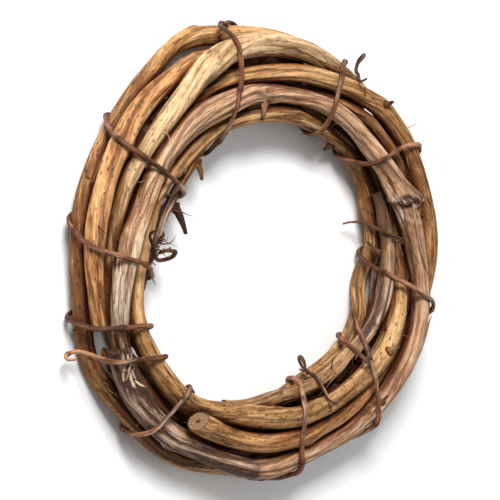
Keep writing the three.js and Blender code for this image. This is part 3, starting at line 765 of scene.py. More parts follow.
# %% [markdown]
# ## Loose bark
#
# Old bark comes off in strips that stay fixed at one end. Hair particles could draw them, but
# the exported model keeps only meshes, so each strip is a thin tube of six sides. It follows
# the skin for a few millimetres and lifts off along the way. A flake is the same strip, shorter
# and paler, where the bark is shown torn.

# %% A thin strip
RIBBON_SIDES, RIBBON_ROWS = 6, 13
RIBBON_DEPTH = 3


def ribbon(middle, wide, thin, half_width, half_thick, *fields):
    """Grid of a thin strip with an oval section: half_width along wide and half_thick along
    thin, both tapered to a point over the last third. fields are marks, wear and tint."""
    sheet = Sheet(walked(middle), RIBBON_SIDES)
    share = np.linspace(0, 1, len(middle))[:, None]
    taper = (1 - 0.85 * eased((share - 0.7) / 0.3)) * (0.4 + 0.6 * eased(share / 0.15))
    a = half_width * taper * np.cos(sheet.theta)
    b = half_thick * (0.4 + 0.6 * taper) * np.sin(sheet.theta)
    places = middle[:, None] + a[..., None] * wide[:, None] + b[..., None] * thin[:, None]
    strip = strip_of(places, (sheet.along, a, b + RIBBON_DEPTH), *fields)
    return capped(strip, shares=RAG_SHARES)


# %% Strips and flakes on a cane
LOOSE = {"length": (6, 17), "aside": 0.14, "sway": 3, "lift": (0.15, 1.3), "half": (0.3, 0.75)}
FLAKE = {"length": (1.5, 3.4), "aside": 0.1, "sway": 7, "lift": (0.06, 0.52), "half": (0.24, 0.6)}
LOOSE_PALE, FLAKE_PALE = (0, 0.1, 0.45), (0.1, 0.5, 0.8)
PEEL_THICK, LIFT_POWER, SUNK, LOWEST = 0.09, 2.2, 0.02, 0.2
SPOT_SPREAD = 1.5
ROW_LENGTH = 0.43


def random_row(sheet, margin, at):
    """A random row of a cane's sheet, or one that lies within a few degrees of at."""
    random = sheet.random
    row = random.integers(margin, len(sheet.angle) - margin)
    if at:
        near = at + random.normal(0, SPOT_SPREAD)
        row = int(np.interp(near, sheet.angle, range(len(sheet.angle))))
    return row


def peel(name, at=None, side=0):
    """A strip of bark that stands off its cane at one end: it follows the skin at one side, and
    its height over the skin grows as a power of the way along it. With at, it is a short pale
    flake near that angle and side, in degrees."""
    sheet, kind = canes[name]["sheet"], FLAKE if at else LOOSE
    random = sheet.random
    length = random.uniform(*kind["length"])
    row = random_row(sheet, 12, at)
    way = random.choice([-1, 1])
    column = CANE_SIDES * (random.normal(0, kind["aside"]) - 0.05 + side / 360)
    here = np.linspace(row, row + way * length / ROW_LENGTH, RIBBON_ROWS)
    here = np.clip(here, 0, len(sheet.angle) - 1.001)
    column = column + np.linspace(0, random.normal(0, kind["sway"]), RIBBON_ROWS)
    low = here.astype(int)
    share = (here - low)[:, None]
    middle = sheet.middle[low] * (1 - share) + sheet.middle[low + 1] * share
    width = smoothed(sheet.skin[low, np.round(column).astype(int) % CANE_SIDES], 1.5)
    angle = np.interp(here, np.arange(len(sheet.angle)), sheet.angle)
    theta, up = column / CANE_SIDES * 2 * np.pi, around_ring(angle, 1, 0)
    arm, round_it = aim(theta, FRONT, up), aim(theta, up, -FRONT)
    lift = random.uniform(*kind["lift"]) * np.linspace(0, 1, RIBBON_ROWS) ** LIFT_POWER
    middle = middle + (width + lift - SUNK)[:, None] * arm
    middle[:, 2] = np.maximum(middle[:, 2], LOWEST)
    grey, pale = random.choice([0.1, 0.5]), random.choice(LOOSE_PALE)
    pale = random.choice(FLAKE_PALE) if at else pale
    # Painted shade on the strip: darker the closer it lies to other canes.
    shade = 0.8 * crevice(middle, name, angle).mean()
    return ribbon(middle, round_it, arm, random.uniform(*kind["half"]), PEEL_THICK,
                  (0.15, pale, grey), (0, shade, 0), (0.1, 0, 0))

# %% [markdown]
# ## Fine dry fibres
#
# Single fibres of the bark stick out like hairs, each with its own curl. A curve object with a
# bevel would do, but it has no fields for the material to read, so the fibres are the same kind
# of grid. Their paths are walks of short even steps whose direction drifts.

# %% One fibre
FIBRE_ROWS, FIBRE_SIDES = 20, 6
FIBRE_HALF = (0.09, 0.17)
FIBRE_STEP = (0.12, 0.36)
FIBRE_TURN, FIBRE_KEEPS = 0.2, 0.85
FIBRE_GRAIN = 8
RING_REACH = max(cad_high.x, cad_high.y) / MM - 0.5


def carried_frames(middle):
    """Two directions square to a path at each point, turned as little as possible from one
    point to the next: each is the last one less its share along the new direction."""
    forward = unit(np.gradient(middle, axis=0))
    across = np.empty_like(middle)
    last = np.array([0.3, 0.4, 0.86])
    for k, ahead in enumerate(forward):
        last = last - (last @ ahead) * ahead
        last = last / np.linalg.norm(last)
        across[k] = last
    return across, np.cross(forward, across)


def fibre(name, at=None, side=0):
    """A dry bark fibre that leaves the skin of its cane: a path of even steps whose direction
    is turned a little at random each time, with its curl held for a while."""
    sheet = canes[name]["sheet"]
    random = sheet.random
    row = random_row(sheet, 4, at)
    theta = np.radians(side + random.normal(0, 35 if at else 60))
    column = int(round(theta / (2 * np.pi) * CANE_SIDES)) % CANE_SIDES
    arm = aim(theta, FRONT, around_ring(sheet.angle[row], 1, 0))
    path = [sheet.middle[row] + (sheet.skin[row, column] - 0.2) * arm]
    ahead = random.choice([-1.2, 1.2]) * sheet.forward[row] + arm + random.normal(0, 0.3, 3)
    turn, step = random.normal(0, FIBRE_TURN, 3), random.uniform(*FIBRE_STEP)
    for _ in range(FIBRE_ROWS - 1):
        turn = FIBRE_KEEPS * turn + random.normal(0, FIBRE_TURN / 2, 3)
        ahead = unit(ahead) + turn
        path.append(path[-1] + step * unit(ahead))
    path = np.array(path)
    path[:, 2] = np.clip(path[:, 2], 0.4, cad_high.z / MM)
    path[:, :2] *= np.minimum(1, RING_REACH / np.hypot(path[:, 0], path[:, 1]))[:, None]
    share = np.linspace(0, 1, FIBRE_ROWS)[:, None]
    hair = Sheet(share * FIBRE_GRAIN, FIBRE_SIDES)
    thick = random.uniform(*FIBRE_HALF) * (1.6 if at else 1) * (1.1 - share) + 0 * hair.theta
    places, _ = hair.around(path, thick, *carried_frames(path))
    dark = random.choice([0.2, 1.0]) if at is None else 1.0
    strip = strip_of(places, hair.straight(thick),
                     (0.3 * dark, 0, 0.4), (0, 0.45 * dark, 0), (dark, 0, 0))
    return capped(strip, shares=RAG_SHARES)

# %% [markdown]
# ## Shreds deep in the bundle
#
# Between the canes lies dead bark that broke off and stayed, and without it light would fall
# straight through the ring. Here the shreds also carry painted shade: they are drawn dark, the
# darker the more wood there is round them, so the deep gaps read as shadow. To place each shred
# by hand would take days, so we throw thousands at the ring at random and keep the ones that
# lie as real ones do: free of every cane, down in a valley, and clear of the shreds that are
# there already.

# %% Find valleys and fill them
SHRED_TRIES = 15000
SHRED_BAND, SHRED_LOW, SHRED_HIGH, SHRED_DEEPER = 11, 3.8, 13.5, 1.7
SHRED_LENGTH = (6, 22)
SHRED_HALF, SHRED_THICK = 1.35, 0.2
SHRED_SWAY, SHRED_WAVES, SHRED_TILT = 0.5, 9, 0.6
SHRED_GAP, SHRED_APART = 0.3, 1.4
BANK_REACH = (0.5, 7.5)
BANK_SLOPE, BANK_FOOT = 0.35, 2.8


def banks_over(angle, rho, height):
    """How far the lower of the two banks stands over each point: the tops of the canes within
    BANK_REACH inward of it, and of those outward of it."""
    banks = np.full((2, *rho.shape), -np.inf)
    for cane in canes.values():
        for along in turns_at(cane["line"], angle):
            radius, middle, half = line_at(cane["line"], along)
            apart = radius - rho
            for bank, aside in enumerate((-apart, apart)):
                near = (aside > BANK_REACH[0]) & (aside < BANK_REACH[1])
                higher = np.maximum(banks[bank], middle + half - height)
                banks[bank] = np.where(near, higher, banks[bank])
    return banks.min(0)


def shreds(random):
    """Strips of old bark that fill the valleys between the canes, drawn dark with painted shade:
    random runs at one radius and height, kept where they touch no cane, where both banks stand
    over them by more the higher they lie, and where no other shred lies yet."""
    rho = CORE_RADIUS + random.uniform(-SHRED_BAND, SHRED_BAND, SHRED_TRIES)
    height = SHRED_LOW + (SHRED_HIGH - SHRED_LOW) * random.random(SHRED_TRIES) ** SHRED_DEEPER
    start = random.uniform(0, 360, SHRED_TRIES)
    length = random.uniform(*SHRED_LENGTH, SHRED_TRIES)
    angle = start[:, None] + np.degrees(length / rho)[:, None] * np.linspace(0, 1, RIBBON_ROWS)
    sway = SHRED_SWAY * np.sin(np.radians(angle * SHRED_WAVES + start[:, None]))
    rho, height = rho[:, None] + sway, height[:, None] - 0.3 * sway
    middle = around_ring(angle, rho, 0)
    middle[..., 2] = height
    gap = beyond_skin(middle).min(1)
    over = banks_over(angle, rho, height) - BANK_SLOPE * (height - BANK_FOOT)
    kept, taken = [], np.full((1, 3), 1e3)
    for k in np.flatnonzero((gap > SHRED_GAP) & (over.min(1) > 0)):
        if np.linalg.norm(taken[:, None] - middle[k][None, ::5], axis=-1).min() < SHRED_APART:
            continue
        taken = np.concatenate([taken, middle[k]])
        up, tilt = around_ring(angle[k], 1, 0), random.uniform(-SHRED_TILT, SHRED_TILT)
        wide, thin = aim(tilt, up, FRONT), aim(tilt, FRONT, -up)
        grey, deep = random.choice([0.1, 0.6]), random.choice([0.1, 0.35, 0.6])
        half = min(SHRED_HALF, gap[k] + 0.5)
        strip = ribbon(middle[k], wide, thin, half, SHRED_THICK,
                       (0.1, 0, grey), (0, 0, 0), (0.3, 0, 0))
        # Painted shade: each shred is drawn dark, from a random least shade up to near black deep
        # in the bundle.
        shade = deep + (1 - deep) * crowded(strip["places"], FRONT)
        strip["wear"] = shade[..., None] * np.array([0, 1.0, 0])
        kept.append(strip)
    print(f"{len(kept)} shreds")
    return kept

# %% [markdown]
# ## Broken side shoots
#
# A side shoot leaves the cane in a flare and bends a little before it breaks off. The solid has
# its foot, a ring of corners and its tip, which is enough for a curve of the second degree. We
# carry a tube along it that starts inside the cane, so no seam shows.

# %% Skin of one twig stub
STUB_ROWS, STUB_SIDES = 18, 14
STUB_FLARE, FLARE_REACH = 0.5, 0.45
STUB_TIP, STUB_TAPER = 0.62, 0.95
STUB_RAGGED = 0.7
LEAN_SHARE, BEFORE_SHARE = 1.37, 0.62
STUB_LEAN = np.array([0, 0, 0.3])


def stub_skin(name, grown, tale, random):
    """Grid of a broken side shoot: a bent line from the middle of the cane to the stub's tip,
    as a curve of the second degree through the ring of corners before the tip. It is widest
    where it leaves the bark, and its broken end is ragged."""
    line = canes[name]["line"]
    foot_angle, tip, before = grown["along"], grown["tip"], grown["before"]
    if before is not None:
        near = nearest_turn(line, before)[2]
        foot_angle = near - LEAN_SHARE * (foot_angle - near)
    rho, height, half = line_at(line, foot_angle)
    foot = around_ring(foot_angle, rho, height)
    if before is None:
        before = foot + BEFORE_SHARE * (tip - foot)
    t = BEFORE_SHARE
    bend = (before - (1 - t) ** 2 * foot - t**2 * tip) / (2 * t * (1 - t))
    share = np.linspace(0.15, 1, STUB_ROWS)[:, None]
    middle = (1 - share) ** 2 * foot + 2 * share * (1 - share) * bend + share**2 * tip
    out = np.linalg.norm(middle - foot, axis=1)[:, None] - half
    forward = unit(np.gradient(middle, axis=0))
    across = unit(np.cross(forward, around_ring(foot_angle + 90, 1, 0) + STUB_LEAN))
    sheet = Sheet(walked(middle), STUB_SIDES, random)
    flare = STUB_FLARE * np.exp(-np.maximum(out, 0) / FLARE_REACH)
    skin = grown["half"] * (STUB_TIP + STUB_TAPER * (1 - share)) + flare
    skin = skin * (1 + 0.4 * (sheet.noise(3, 6) - 0.5))
    places, _ = sheet.around(middle, skin, across, np.cross(forward, across))
    ragged = strip_noise(0 * sheet.along, sheet.grain, 1, 7, random) - 0.4
    drawn_out = bell(1 - share, 0.15) * STUB_RAGGED * ragged
    places = places + drawn_out[..., None] * forward[:, None]
    grey, dark = (np.interp(foot_angle, tale[:, 0], tale[:, k]) for k in (1, 3))
    marks = (0.2 + 0.6 * bell(1 - share, 0.2), 0, grey)
    # Painted shade: a little all over the stub, and more where it leaves the bark.
    wear, tint = (0, 0.1 + 0.5 * bell(out, 0.35), 0), (dark + 0.35, 0, 0)
    return capped(strip_of(places, sheet.straight(skin), marks, wear, tint))

# %% [markdown]
# ## Writing a material as a sum
#
# A node tree is a formula, and it reads best as one. The class below wraps an output socket, so
# that 1 - mask or crack * 0.8 adds the Math nodes by itself. Every other node comes from the one
# method called node.

# %% Sockets with arithmetic
class Value:
    """An output socket. Python's operators on it add Math nodes to its tree."""

    def __init__(self, shader, socket):
        self.shader, self.socket = shader, socket

    def __add__(self, other):
        return self.shader.math("ADD", self, other)

    def __sub__(self, other):
        return self.shader.math("SUBTRACT", self, other)

    def __rsub__(self, other):
        return self.shader.math("SUBTRACT", other, self)

    def __mul__(self, other):
        return self.shader.math("MULTIPLY", self, other)

    __radd__, __rmul__ = __add__, __mul__


# %% A material's node tree
BARK_GLOSS, PAPER_GLOSS = 0.2, 0.1


class Shader:
    """A material's node tree."""

    def __init__(self, name):
        self.material = bpy.data.materials.new(name)
        self.material.use_nodes = True
        self.tree = self.material.node_tree
        self.tree.nodes.clear()

    def node(self, kind, settings=(), inputs=(), output=0):
        """Adds a node: its settings first, with a ramp's stops as (place, colour) pairs, then a
        value or a link for each input socket, by name or number."""
        made = self.tree.nodes.new("ShaderNode" + kind)
        for key, value in dict(settings).items():
            if key == "stops":
                ramp = made.color_ramp.elements
                while len(ramp) < len(value):
                    ramp.new(0.5)
                for stop, (place, colour) in zip(ramp, value):
                    stop.position, stop.color = place, colour
            else:
                setattr(made, key, value)
        for key, value in dict(inputs).items():
            if isinstance(value, Value):
                self.tree.links.new(value.socket, made.inputs[key])
            else:
                made.inputs[key].default_value = value
        return Value(self, made.outputs[output]) if made.outputs else made

    def math(self, operation, *numbers):
        return self.node("Math", {"operation": operation}, enumerate(numbers))

    def fields(self, name):
        """The three numbers of a field as three values."""
        field = self.node("Attribute", {"attribute_name": name}, output="Vector")
        parts = self.node("SeparateXYZ", inputs={0: field}, output="X")
        return [Value(self, output) for output in parts.socket.node.outputs]

    def stretched(self, vector, scale):
        """A vector times three numbers."""
        return self.node("VectorMath", {"operation": "MULTIPLY"}, {0: vector, 1: scale})

    def noise(self, vector, scale, seed, detail=3, roughness=0.55):
        """Noise from 0 to 1 whose grains are 1 / scale mm long, wide and deep."""
        inputs = {"Vector": self.stretched(vector, scale), "W": seed, "Scale": 1,
                  "Detail": detail, "Roughness": roughness}
        return self.node("TexNoise", {"noise_dimensions": "4D"}, inputs)

    def step(self, low, high, value):
        """0 below low, 1 above high and a smooth step between, or the other way round."""
        inputs = {"Value": value, "From Min": low, "From Max": high}
        return self.node("MapRange", {"interpolation_type": "SMOOTHSTEP"}, inputs)

    def ramp(self, share, *stops):
        """A colour read off a row of (place, colour) stops."""
        return self.node("ValToRGB", {"stops": stops}, {"Fac": share})

    def mix(self, share, first, second, blend="MIX"):
        """first where share is 0, second where it is 1, for colours."""
        inputs = {0: share, 6: first, 7: second}
        return self.node("Mix", {"data_type": "RGBA", "blend_type": blend}, inputs, output=2)

    def finish(self, gloss, colour, rough, **more):
        """The shader itself, with the values of its sockets."""
        inputs = {"Base Color": colour, "Roughness": rough, "Specular IOR Level": gloss, **more}
        skin = self.node("BsdfPrincipled", {}, inputs)
        self.node("OutputMaterial", {}, {"Surface": skin})
        return self.material


def rgb(red, green, blue):
    """A colour given as on a screen, 0 to 255, as the linear values that a shader works in."""
    share = np.array([red, green, blue]) / 255
    linear = np.where(share <= 0.04045, share / 12.92, ((share + 0.055) / 1.055) ** 2.4)
    return (*linear, 1.0)

# %% [markdown]
# ## Bark
#
# Young grapevine bark is a satin tan with fine lengthwise lines, darker specks, and older skin
# that peels off in grey shreds or leaves pale wood. One function draws it all from a cane's
# three tones. Broad noise picks the tone, noise drawn out along the cane makes the streaks, and
# the level lines of another noise make the thin dark cracks. Noise is the right tool here, as
# no two millimetres of bark are alike.

# %% Bark material
DARK_LINE = rgb(48, 26, 13)
# Painted shade: the colour is multiplied by this ramp, from white in the open to a warm
# near-black deep between the canes.
SHADE_STOPS = (0, (1, 1, 1, 1)), (0.5, (0.4, 0.23, 0.12, 1)), (1, (0.075, 0.018, 0.004, 1))
TONE_STOPS = (0.26, 0.5, 0.74)
GREY_STOPS = (0.32, rgb(66, 46, 38)), (0.5, rgb(122, 92, 74)), (0.7, rgb(188, 158, 134))
PALE_TONES = rgb(160, 128, 98), rgb(228, 208, 182)
KNOT_TONE = rgb(56, 32, 18)
WOOD_TONES = rgb(104, 76, 52), rgb(168, 134, 100)
PITH_TONE = rgb(74, 44, 26)
PATCHES, MOTTLE, STREAKS = (0.07, 0.35, 0.35), (0.4, 0.8, 0.8), (0.12, 1.5, 1.5)
FINE, HAIRS, LINES = (0.3, 4.2, 4.2), (0.8, 12, 12), (0.05, 1.0, 1.0)
DOTS, RAYS = (0.5, 1.0, 1.0), (0, 3.2, 3.2)
RING_WAVES = 21
RELIEF = 0.13 * MM


def bark(name, tones, seed, shine=0.5):
    """Bark from three tones, dark, middle and light, on the fields of a skin."""
    m = Shader(name)
    place = m.node("Attribute", {"attribute_name": "straight"}, output="Vector")
    (knot, pale, grey), (crack, shade, cut), (dark, dotted, crest) = map(m.fields, FIELDS[1:])
    patches = m.noise(place, PATCHES, seed, detail=2)
    mottle = m.noise(place, MOTTLE, seed + 6, roughness=0.6)
    streaks = m.noise(place, STREAKS, seed + 1, detail=4, roughness=0.65)
    fine = m.noise(place, FINE, seed + 2)
    hairs = m.noise(place, HAIRS, seed + 3, detail=2)
    # The tone, with the crests of the ridges drawn lighter, partly as the paler crests of
    # weathered bark and partly as painted highlight, and over it the old grey skin and the pale
    # wood under skin that came off.
    tone = patches * 0.8 + mottle * 0.6 + streaks * 0.8 + fine * 0.5 - 0.85 - dark * 0.22
    tone = tone + crest * (grey * 0.65 + 0.2) + (streaks - 0.5) * grey * 0.9
    colour = m.ramp(tone, *zip(TONE_STOPS, (rgb(*t) for t in tones)))
    old = m.ramp(tone, *GREY_STOPS)
    edge = streaks * 0.7 + fine * 0.4 + patches * 0.5 + mottle * 0.4 - 0.5
    colour = m.mix(m.step(0.4, 0.65, grey + edge - 0.5), colour, old)
    bare = m.mix(m.step(0.38, 0.6, fine * 0.5 + streaks * 0.5), *PALE_TONES)
    colour = m.mix(m.step(0.46, 0.66, pale + edge - 0.5), colour, bare)
    # Thin lines, specks, cracks and knots, all of them dark.
    apart = m.math("ABSOLUTE", m.noise(place, LINES, seed + 4) - 0.5)
    lines = m.step(0.035, 0.004, apart) * m.step(0.42, 0.58, mottle)
    colour = m.mix(lines * 0.55, colour, DARK_LINE)
    dots = m.node("TexVoronoi", {"voronoi_dimensions": "3D"},
                  {"Vector": m.stretched(place, DOTS), "Scale": 1}, output="Distance")
    specks = m.step(dotted * 0.16 + 0.2, dotted * 0.1 + 0.08, dots)
    specks = specks * m.step(0.5, 0.62, patches + dotted * 0.4)
    colour = m.mix(specks * 0.65, colour, DARK_LINE)
    colour = m.mix(crack * 0.8, colour, DARK_LINE)
    colour = m.mix(knot * m.step(0.2, 0.5, fine) * (1 - cut), colour, KNOT_TONE)
    # Sawn wood: growth rings, which are waves of the share that marks.x holds, round the pith.
    rays = m.noise(place, RAYS, seed + 5)
    wood = m.mix(m.step(0.3, 0.7, rays), *WOOD_TONES)
    rings = m.math("SINE", knot * RING_WAVES + rays * 2.4)
    wood = m.mix(m.step(0.45, 0.95, rings) * 0.5, wood, PITH_TONE)
    wood = m.mix(m.step(0.26, 0.14, knot), wood, PITH_TONE)
    wood = m.mix(m.step(0.86, 0.97, knot), wood, PITH_TONE)
    colour = m.mix(cut, colour, wood)
    # Painted shade: the colour is multiplied by the shade ramp, darker near other canes and deep
    # in the bundle.
    colour = m.mix(1, colour, m.ramp(shade, *SHADE_STOPS), blend="MULTIPLY")
    height = streaks * 1.1 + fine * 0.8 + hairs * 0.25 + mottle * 0.5 - lines * 0.5
    normal = m.node("Bump", {}, {"Strength": 1.0, "Distance": RELIEF, "Height": height})
    rough = shine + fine * 0.22 + pale * 0.12 + shade * 0.3 + cut * 0.2
    return m.finish(BARK_GLOSS, colour, rough, Normal=normal)

# %% [markdown]
# ## The canes
#
# No two canes of a wreath come from the same shoot, so each has its own tones and its own tale.
# A tale is a list of rows: an angle along the cane, and how grey, pale, dark and dotted the bark
# is there. The dark column is partly the bark's own tone and partly painted shade: stretches that
# lie in shadow are set darker, such as the start of the pinkish cane, the long golden cane from
# 165 to 215 degrees and the end of the short grey cane. Between two rows the values change
# evenly. Flakes and fibres are given as an angle along the cane, a side and a count, where the
# photograph shows a tuft of them.

# %% What each cane looks like
LOOKS = {
    "cane_long_pinkish": dict(
        slot="bark_pinkish", oval=0.05, rough=0.2, cracked=0.9, torn=0,
        flakes=[(212.5, 40, 14), (373.5, 20, 4)], fibres=[(373, 60, 4), (568, -60, 4)],
        tones=((110, 70, 45), (174, 131, 98), (217, 178, 142)),
        tale=[(204, 0.65, 0, 0.9, 0), (210, 0.65, 0.2, 0.7, 0), (214, 0.7, 0.36, 0.4, 0),
              (222, 0.75, 0.2, 0.1, 0), (255, 0.65, 0, 0.2, 0), (265, 0.6, 0, 0.2, 0),
              (268, 0, 0.3, -0.3, 0), (279, 0, 0.3, -0.3, 0), (284, 0.4, 0.15, -0.2, 0),
              (305, 0.35, 0.1, 0, 0), (335, 0.1, 0, 0.3, 0), (366, 0.1, 0, 0.3, 0),
              (376, 0.45, 0.3, 0, 0), (392, 0.15, 0.3, -0.35, 0), (425, 0.2, 0.12, 0, 0),
              (480, 0.15, 0.15, 0, 0), (500, 0.1, 0.3, 0, 0), (515, 0, 0.45, 0, 0),
              (535, 0, 0.42, 0, 0), (552, 0.1, 0.7, 0, 0), (561, 0.1, 0.6, 0.1, 0),
              (566, 0.25, 0, 0.5, 0), (600, 0.3, 0, 0.6, 0)]),
    "cane_long_golden": dict(
        slot="bark_golden", oval=0.05, rough=0.14, cracked=0.5,
        tones=((116, 72, 36), (184, 138, 87), (222, 179, 128)),
        tale=[(50, 0, 0, 0.2, 0.2), (140, 0, 0, 0.3, 0.6), (165, 0.2, 0, 1.3, 1),
              (215, 0.2, 0, 1.5, 1), (260, 0.2, 0, 0.5, 0.6), (340, 0.1, 0, 0.9, 0.2),
              (375, 0, 0, 0.6, 0.2), (410, 0, 0, 0.35, 0.3), (435, 0, 0, -0.35, 0),
              (465, 0, 0, -0.3, 0), (480, 0, 0, 0, 0.2), (545, 0, 0, 0.6, 0)]),
    "cane_broad_golden": dict(
        slot="bark_light_golden", oval=0.06, rough=0.14, cracked=0.35,
        tones=((126, 89, 54), (199, 162, 118), (231, 198, 156)),
        tale=[(340, 0, 0, 0.6, 0), (395, 0, 0, 0.5, 0.3), (430, 0.05, 0, 0.35, 0.7),
              (450, 0, 0, -0.1, 0.5), (485, 0, 0, -0.1, 0.2), (500, 0, 0, 0.25, 0.3),
              (530, 0, 0, 0.4, 0.8), (680, 0, 0, 0.6, 0)]),
    "cane_long_tan": dict(
        slot="bark_tan", oval=0.05, rough=0.14, cracked=0.5,
        tones=((108, 67, 35), (178, 133, 84), (218, 175, 124)),
        tale=[(270, 0, 0, 0.3, 0.2), (325, 0.05, 0, 0.35, 0.5), (345, 0.1, 0, 0.8, 0),
              (395, 0.15, 0, 0.8, 0), (430, 0.2, 0, 0.5, 0), (500, 0, 0, 0.1, 0),
              (545, 0, 0, 0.1, 0), (570, 0, 0, 0.45, 0.5), (600, 0, 0, 0.5, 0.8),
              (650, 0, 0, 0.2, 0.9), (675, 0, 0, -0.2, 0.9), (699, 0, 0, -0.4, 0.9),
              (712, 0.1, 0, 0.8, 0), (870, 0, 0, 0.6, 0)]),
    "cane_with_cut_end": dict(
        slot="bark_orange_brown", oval=0.05, rough=0.15, cracked=0.55, sawn=(True, False),
        tones=((118, 70, 34), (191, 139, 88), (228, 181, 127)),
        tale=[(230, 0.1, 0, 0.1, 0.3), (320, 0, 0, 0.3, 0.4), (470, 0, 0, 0, 0),
              (500, 0.15, 0, 0.2, 0.7), (560, 0.2, 0, 0.6, 0.5)]),
    "cane_short_grey": dict(
        slot="bark_grey", oval=0.06, rough=0.22, cracked=1.0, torn=-1,
        tones=((98, 66, 42), (170, 130, 90), (210, 170, 124)),
        tale=[(240, 0.1, 0, 0.2, 0.4), (312, 0.1, 0, 0.1, 0.6), (322, 0.7, 0, 0.4, 0),
              (345, 0.6, 0, 0.5, 0), (360, 0.4, 0, 0.7, 0), (370, 0.4, 0, 1.6, 0)]),
    "cane_short_brown": dict(
        slot="bark_brown", oval=0.05, rough=0.16, cracked=0.6,
        tones=((88, 49, 24), (151, 102, 61), (195, 147, 100)),
        tale=[(0, 0, 0, 0.3, 0), (100, 0, 0, 0.3, 0)]),
    "cane_thin_inner": dict(
        slot="bark_thin_tan", oval=0.05, rough=0.14, cracked=0.7,
        fibres=[(183, -40, 9), (178, -50, 9), (172, -60, 5), (160, -80, 4)],
        tones=((108, 65, 33), (177, 127, 77), (215, 168, 115)),
        tale=[(115, 0, 0, 0.1, 0), (138, 0, 0, 0.3, 0), (150, 0.7, 0, 0.9, 0),
              (200, 0.8, 0, 1, 0)]),
}

# %% Make the canes
SEED, SEED_STEP = 20417, 10.0
PEEL_EVERY, FIBRE_EVERY = 42, 26

for number, (name, look) in enumerate(LOOKS.items()):
    random = np.random.default_rng(SEED + number)
    strips = [cane_skin(name, look, random)]
    tale = np.array(look["tale"], float)
    strips += [stub_skin(name, grown, tale, random) for grown in canes[name]["stubs"]]
    long = np.radians(np.ptp(canes[name]["line"][:, 0])) * CORE_RADIUS
    strips += [peel(name) for _ in range(int(long / PEEL_EVERY * (0.6 + look["cracked"])))]
    for at, side, count in look.get("flakes", []):
        strips += [peel(name, at, side) for _ in range(count)]
    strips += [fibre(name) for _ in range(int(long / FIBRE_EVERY))]
    for at, side, count in look.get("fibres", []):
        strips += [fibre(name, at, side) for _ in range(count)]
    if name == "cane_short_brown":
        strips += shreds(random)
    material = bark(look["slot"], look["tones"], SEED_STEP * number + 3)
    piece(name.replace("cane", "vine"), strips, material, look["slot"], name)

# %% [markdown]
# ## The vine that binds the ring
#
# The binding is a thin runner of the same plant, wound while it was limp, so it lies in straight
# runs from cane to cane and bends over each. Its solid is a tube of rings with six corners each.
# All corners inside such a tube have six neighbours and those of the two end rings don't, so the
# ends can be found, and counting steps from one end gives the rings in order.

# %% The line of a binding
RING_CORNERS = 6
VINE_STEP, VINE_SOFT, VINE_ROW = 0.15, 4.5, 2


def vine_line(node):
    """Middle points (n, 3) and half widths (n, 1) along a solid tube, at even steps. Ring k is
    all corners that lie k edges from the first end ring."""
    places, triangles = solid_mesh(node)
    edges = np.concatenate([triangles[:, :2], triangles[:, 1:], triangles[:, ::2]])
    edges = np.unique(np.sort(edges, axis=1), axis=0)
    neighbours = np.bincount(edges.ravel(), minlength=len(places))
    ends = np.flatnonzero(neighbours != RING_CORNERS)
    number = np.full(len(places), -1)
    number[ends] = np.arange(len(ends))
    group = linked(len(ends), number[edges[np.isin(edges, ends).all(1)]])
    ring = np.full(len(places), -1)
    ring[ends[group == group.min()]] = 0
    while (ring < 0).any():
        front = edges[(ring[edges] >= 0).sum(1) == 1]
        reached = np.where(ring[front[:, 0]] < 0, front[:, 0], front[:, 1])
        ring[reached] = ring.max() + 1
    middles = np.array([places[ring == k].mean(0) for k in range(ring.max() + 1)])
    spread = np.linalg.norm(places - middles[ring], axis=1)
    table = np.column_stack([middles, np.bincount(ring, spread) / np.bincount(ring)])
    length = walked(middles)[:, 0]
    even = np.arange(0, length[-1], VINE_STEP)
    fine = [smoothed(np.interp(even, length, table[:, k]), VINE_SOFT) for k in range(4)]
    fine = np.column_stack(fine)[::VINE_ROW]
    return fine[:, :3], fine[:, 3:]


# %% Skin of a binding
VINE_SIDES, VINE_DRIFT = 16, 0.02
VINE_WIDTH, VINE_SLOW, VINE_RIDGES = 0.87, 0.2, 0.16
PRESSED, PRESS_REACH = 0.36, 2.2
VINE_NODE_APART, VINE_NODE = 15, 0.16
VINE_SHADE = 0.45


def vine_skin(node, random):
    """Grid of a thin vine: the solid's line, drawn in towards the ring where it lies on the
    canes, with a half width that swells at its nodes and is finely ridged."""
    middle, half = vine_line(node)
    angle = ring_place(middle)[0]
    inward = unit(around_ring(angle, CORE_RADIUS, CORE_HEIGHT) - middle)
    near = np.clip(smoothed(eased(PRESS_REACH - beyond_skin(middle)), 6), 0, 1)
    middle = middle + PRESSED * near[:, None] * inward
    sheet = Sheet(walked(middle), VINE_SIDES, random, VINE_DRIFT)
    skin = VINE_WIDTH * half * (1 + VINE_SLOW * (sheet.slow(7) - 0.5))
    skin = skin * (1 + VINE_RIDGES * (sheet.noise(5, 6) - 0.5))
    knot = 0 * skin
    place = VINE_NODE_APART * random.random()
    while place < sheet.along[-1, 0]:
        down = sheet.along - place
        skin += VINE_NODE * bell(down, 0.6) * (0.6 + 0.8 * sheet.noise(3, 5))
        knot = np.maximum(knot, 0.8 * bell(down, 0.8))
        place += VINE_NODE_APART * (0.6 + 0.8 * random.random())
    places, arms = sheet.around(middle, skin, *carried_frames(middle))
    places[..., 2] = np.maximum(places[..., 2], 0)
    # Painted shade on the binding: darker where it lies on the canes and deep in the bundle.
    open_air = (1 - VINE_SHADE * crevice(places)) * (1 - CROWD_DARK * crowded(places, arms))
    grey = 0.9 * eased((sheet.noise(11, 3) - 0.45) / 0.3)
    dark = 1.6 * (sheet.slow(20) - 0.5)
    strip = strip_of(places, sheet.straight(skin),
                     (knot, 0, grey), (0, 1 - open_air, 0), (dark, 0, 0))
    return capped(strip, shares=CAP_SHARES[1::2])


# %% The bindings and tendrils
BINDING_TONES = (60, 33, 19), (119, 75, 50), (182, 133, 99)
TENDRIL_TONES = (40, 22, 13), (80, 50, 32), (126, 88, 60)

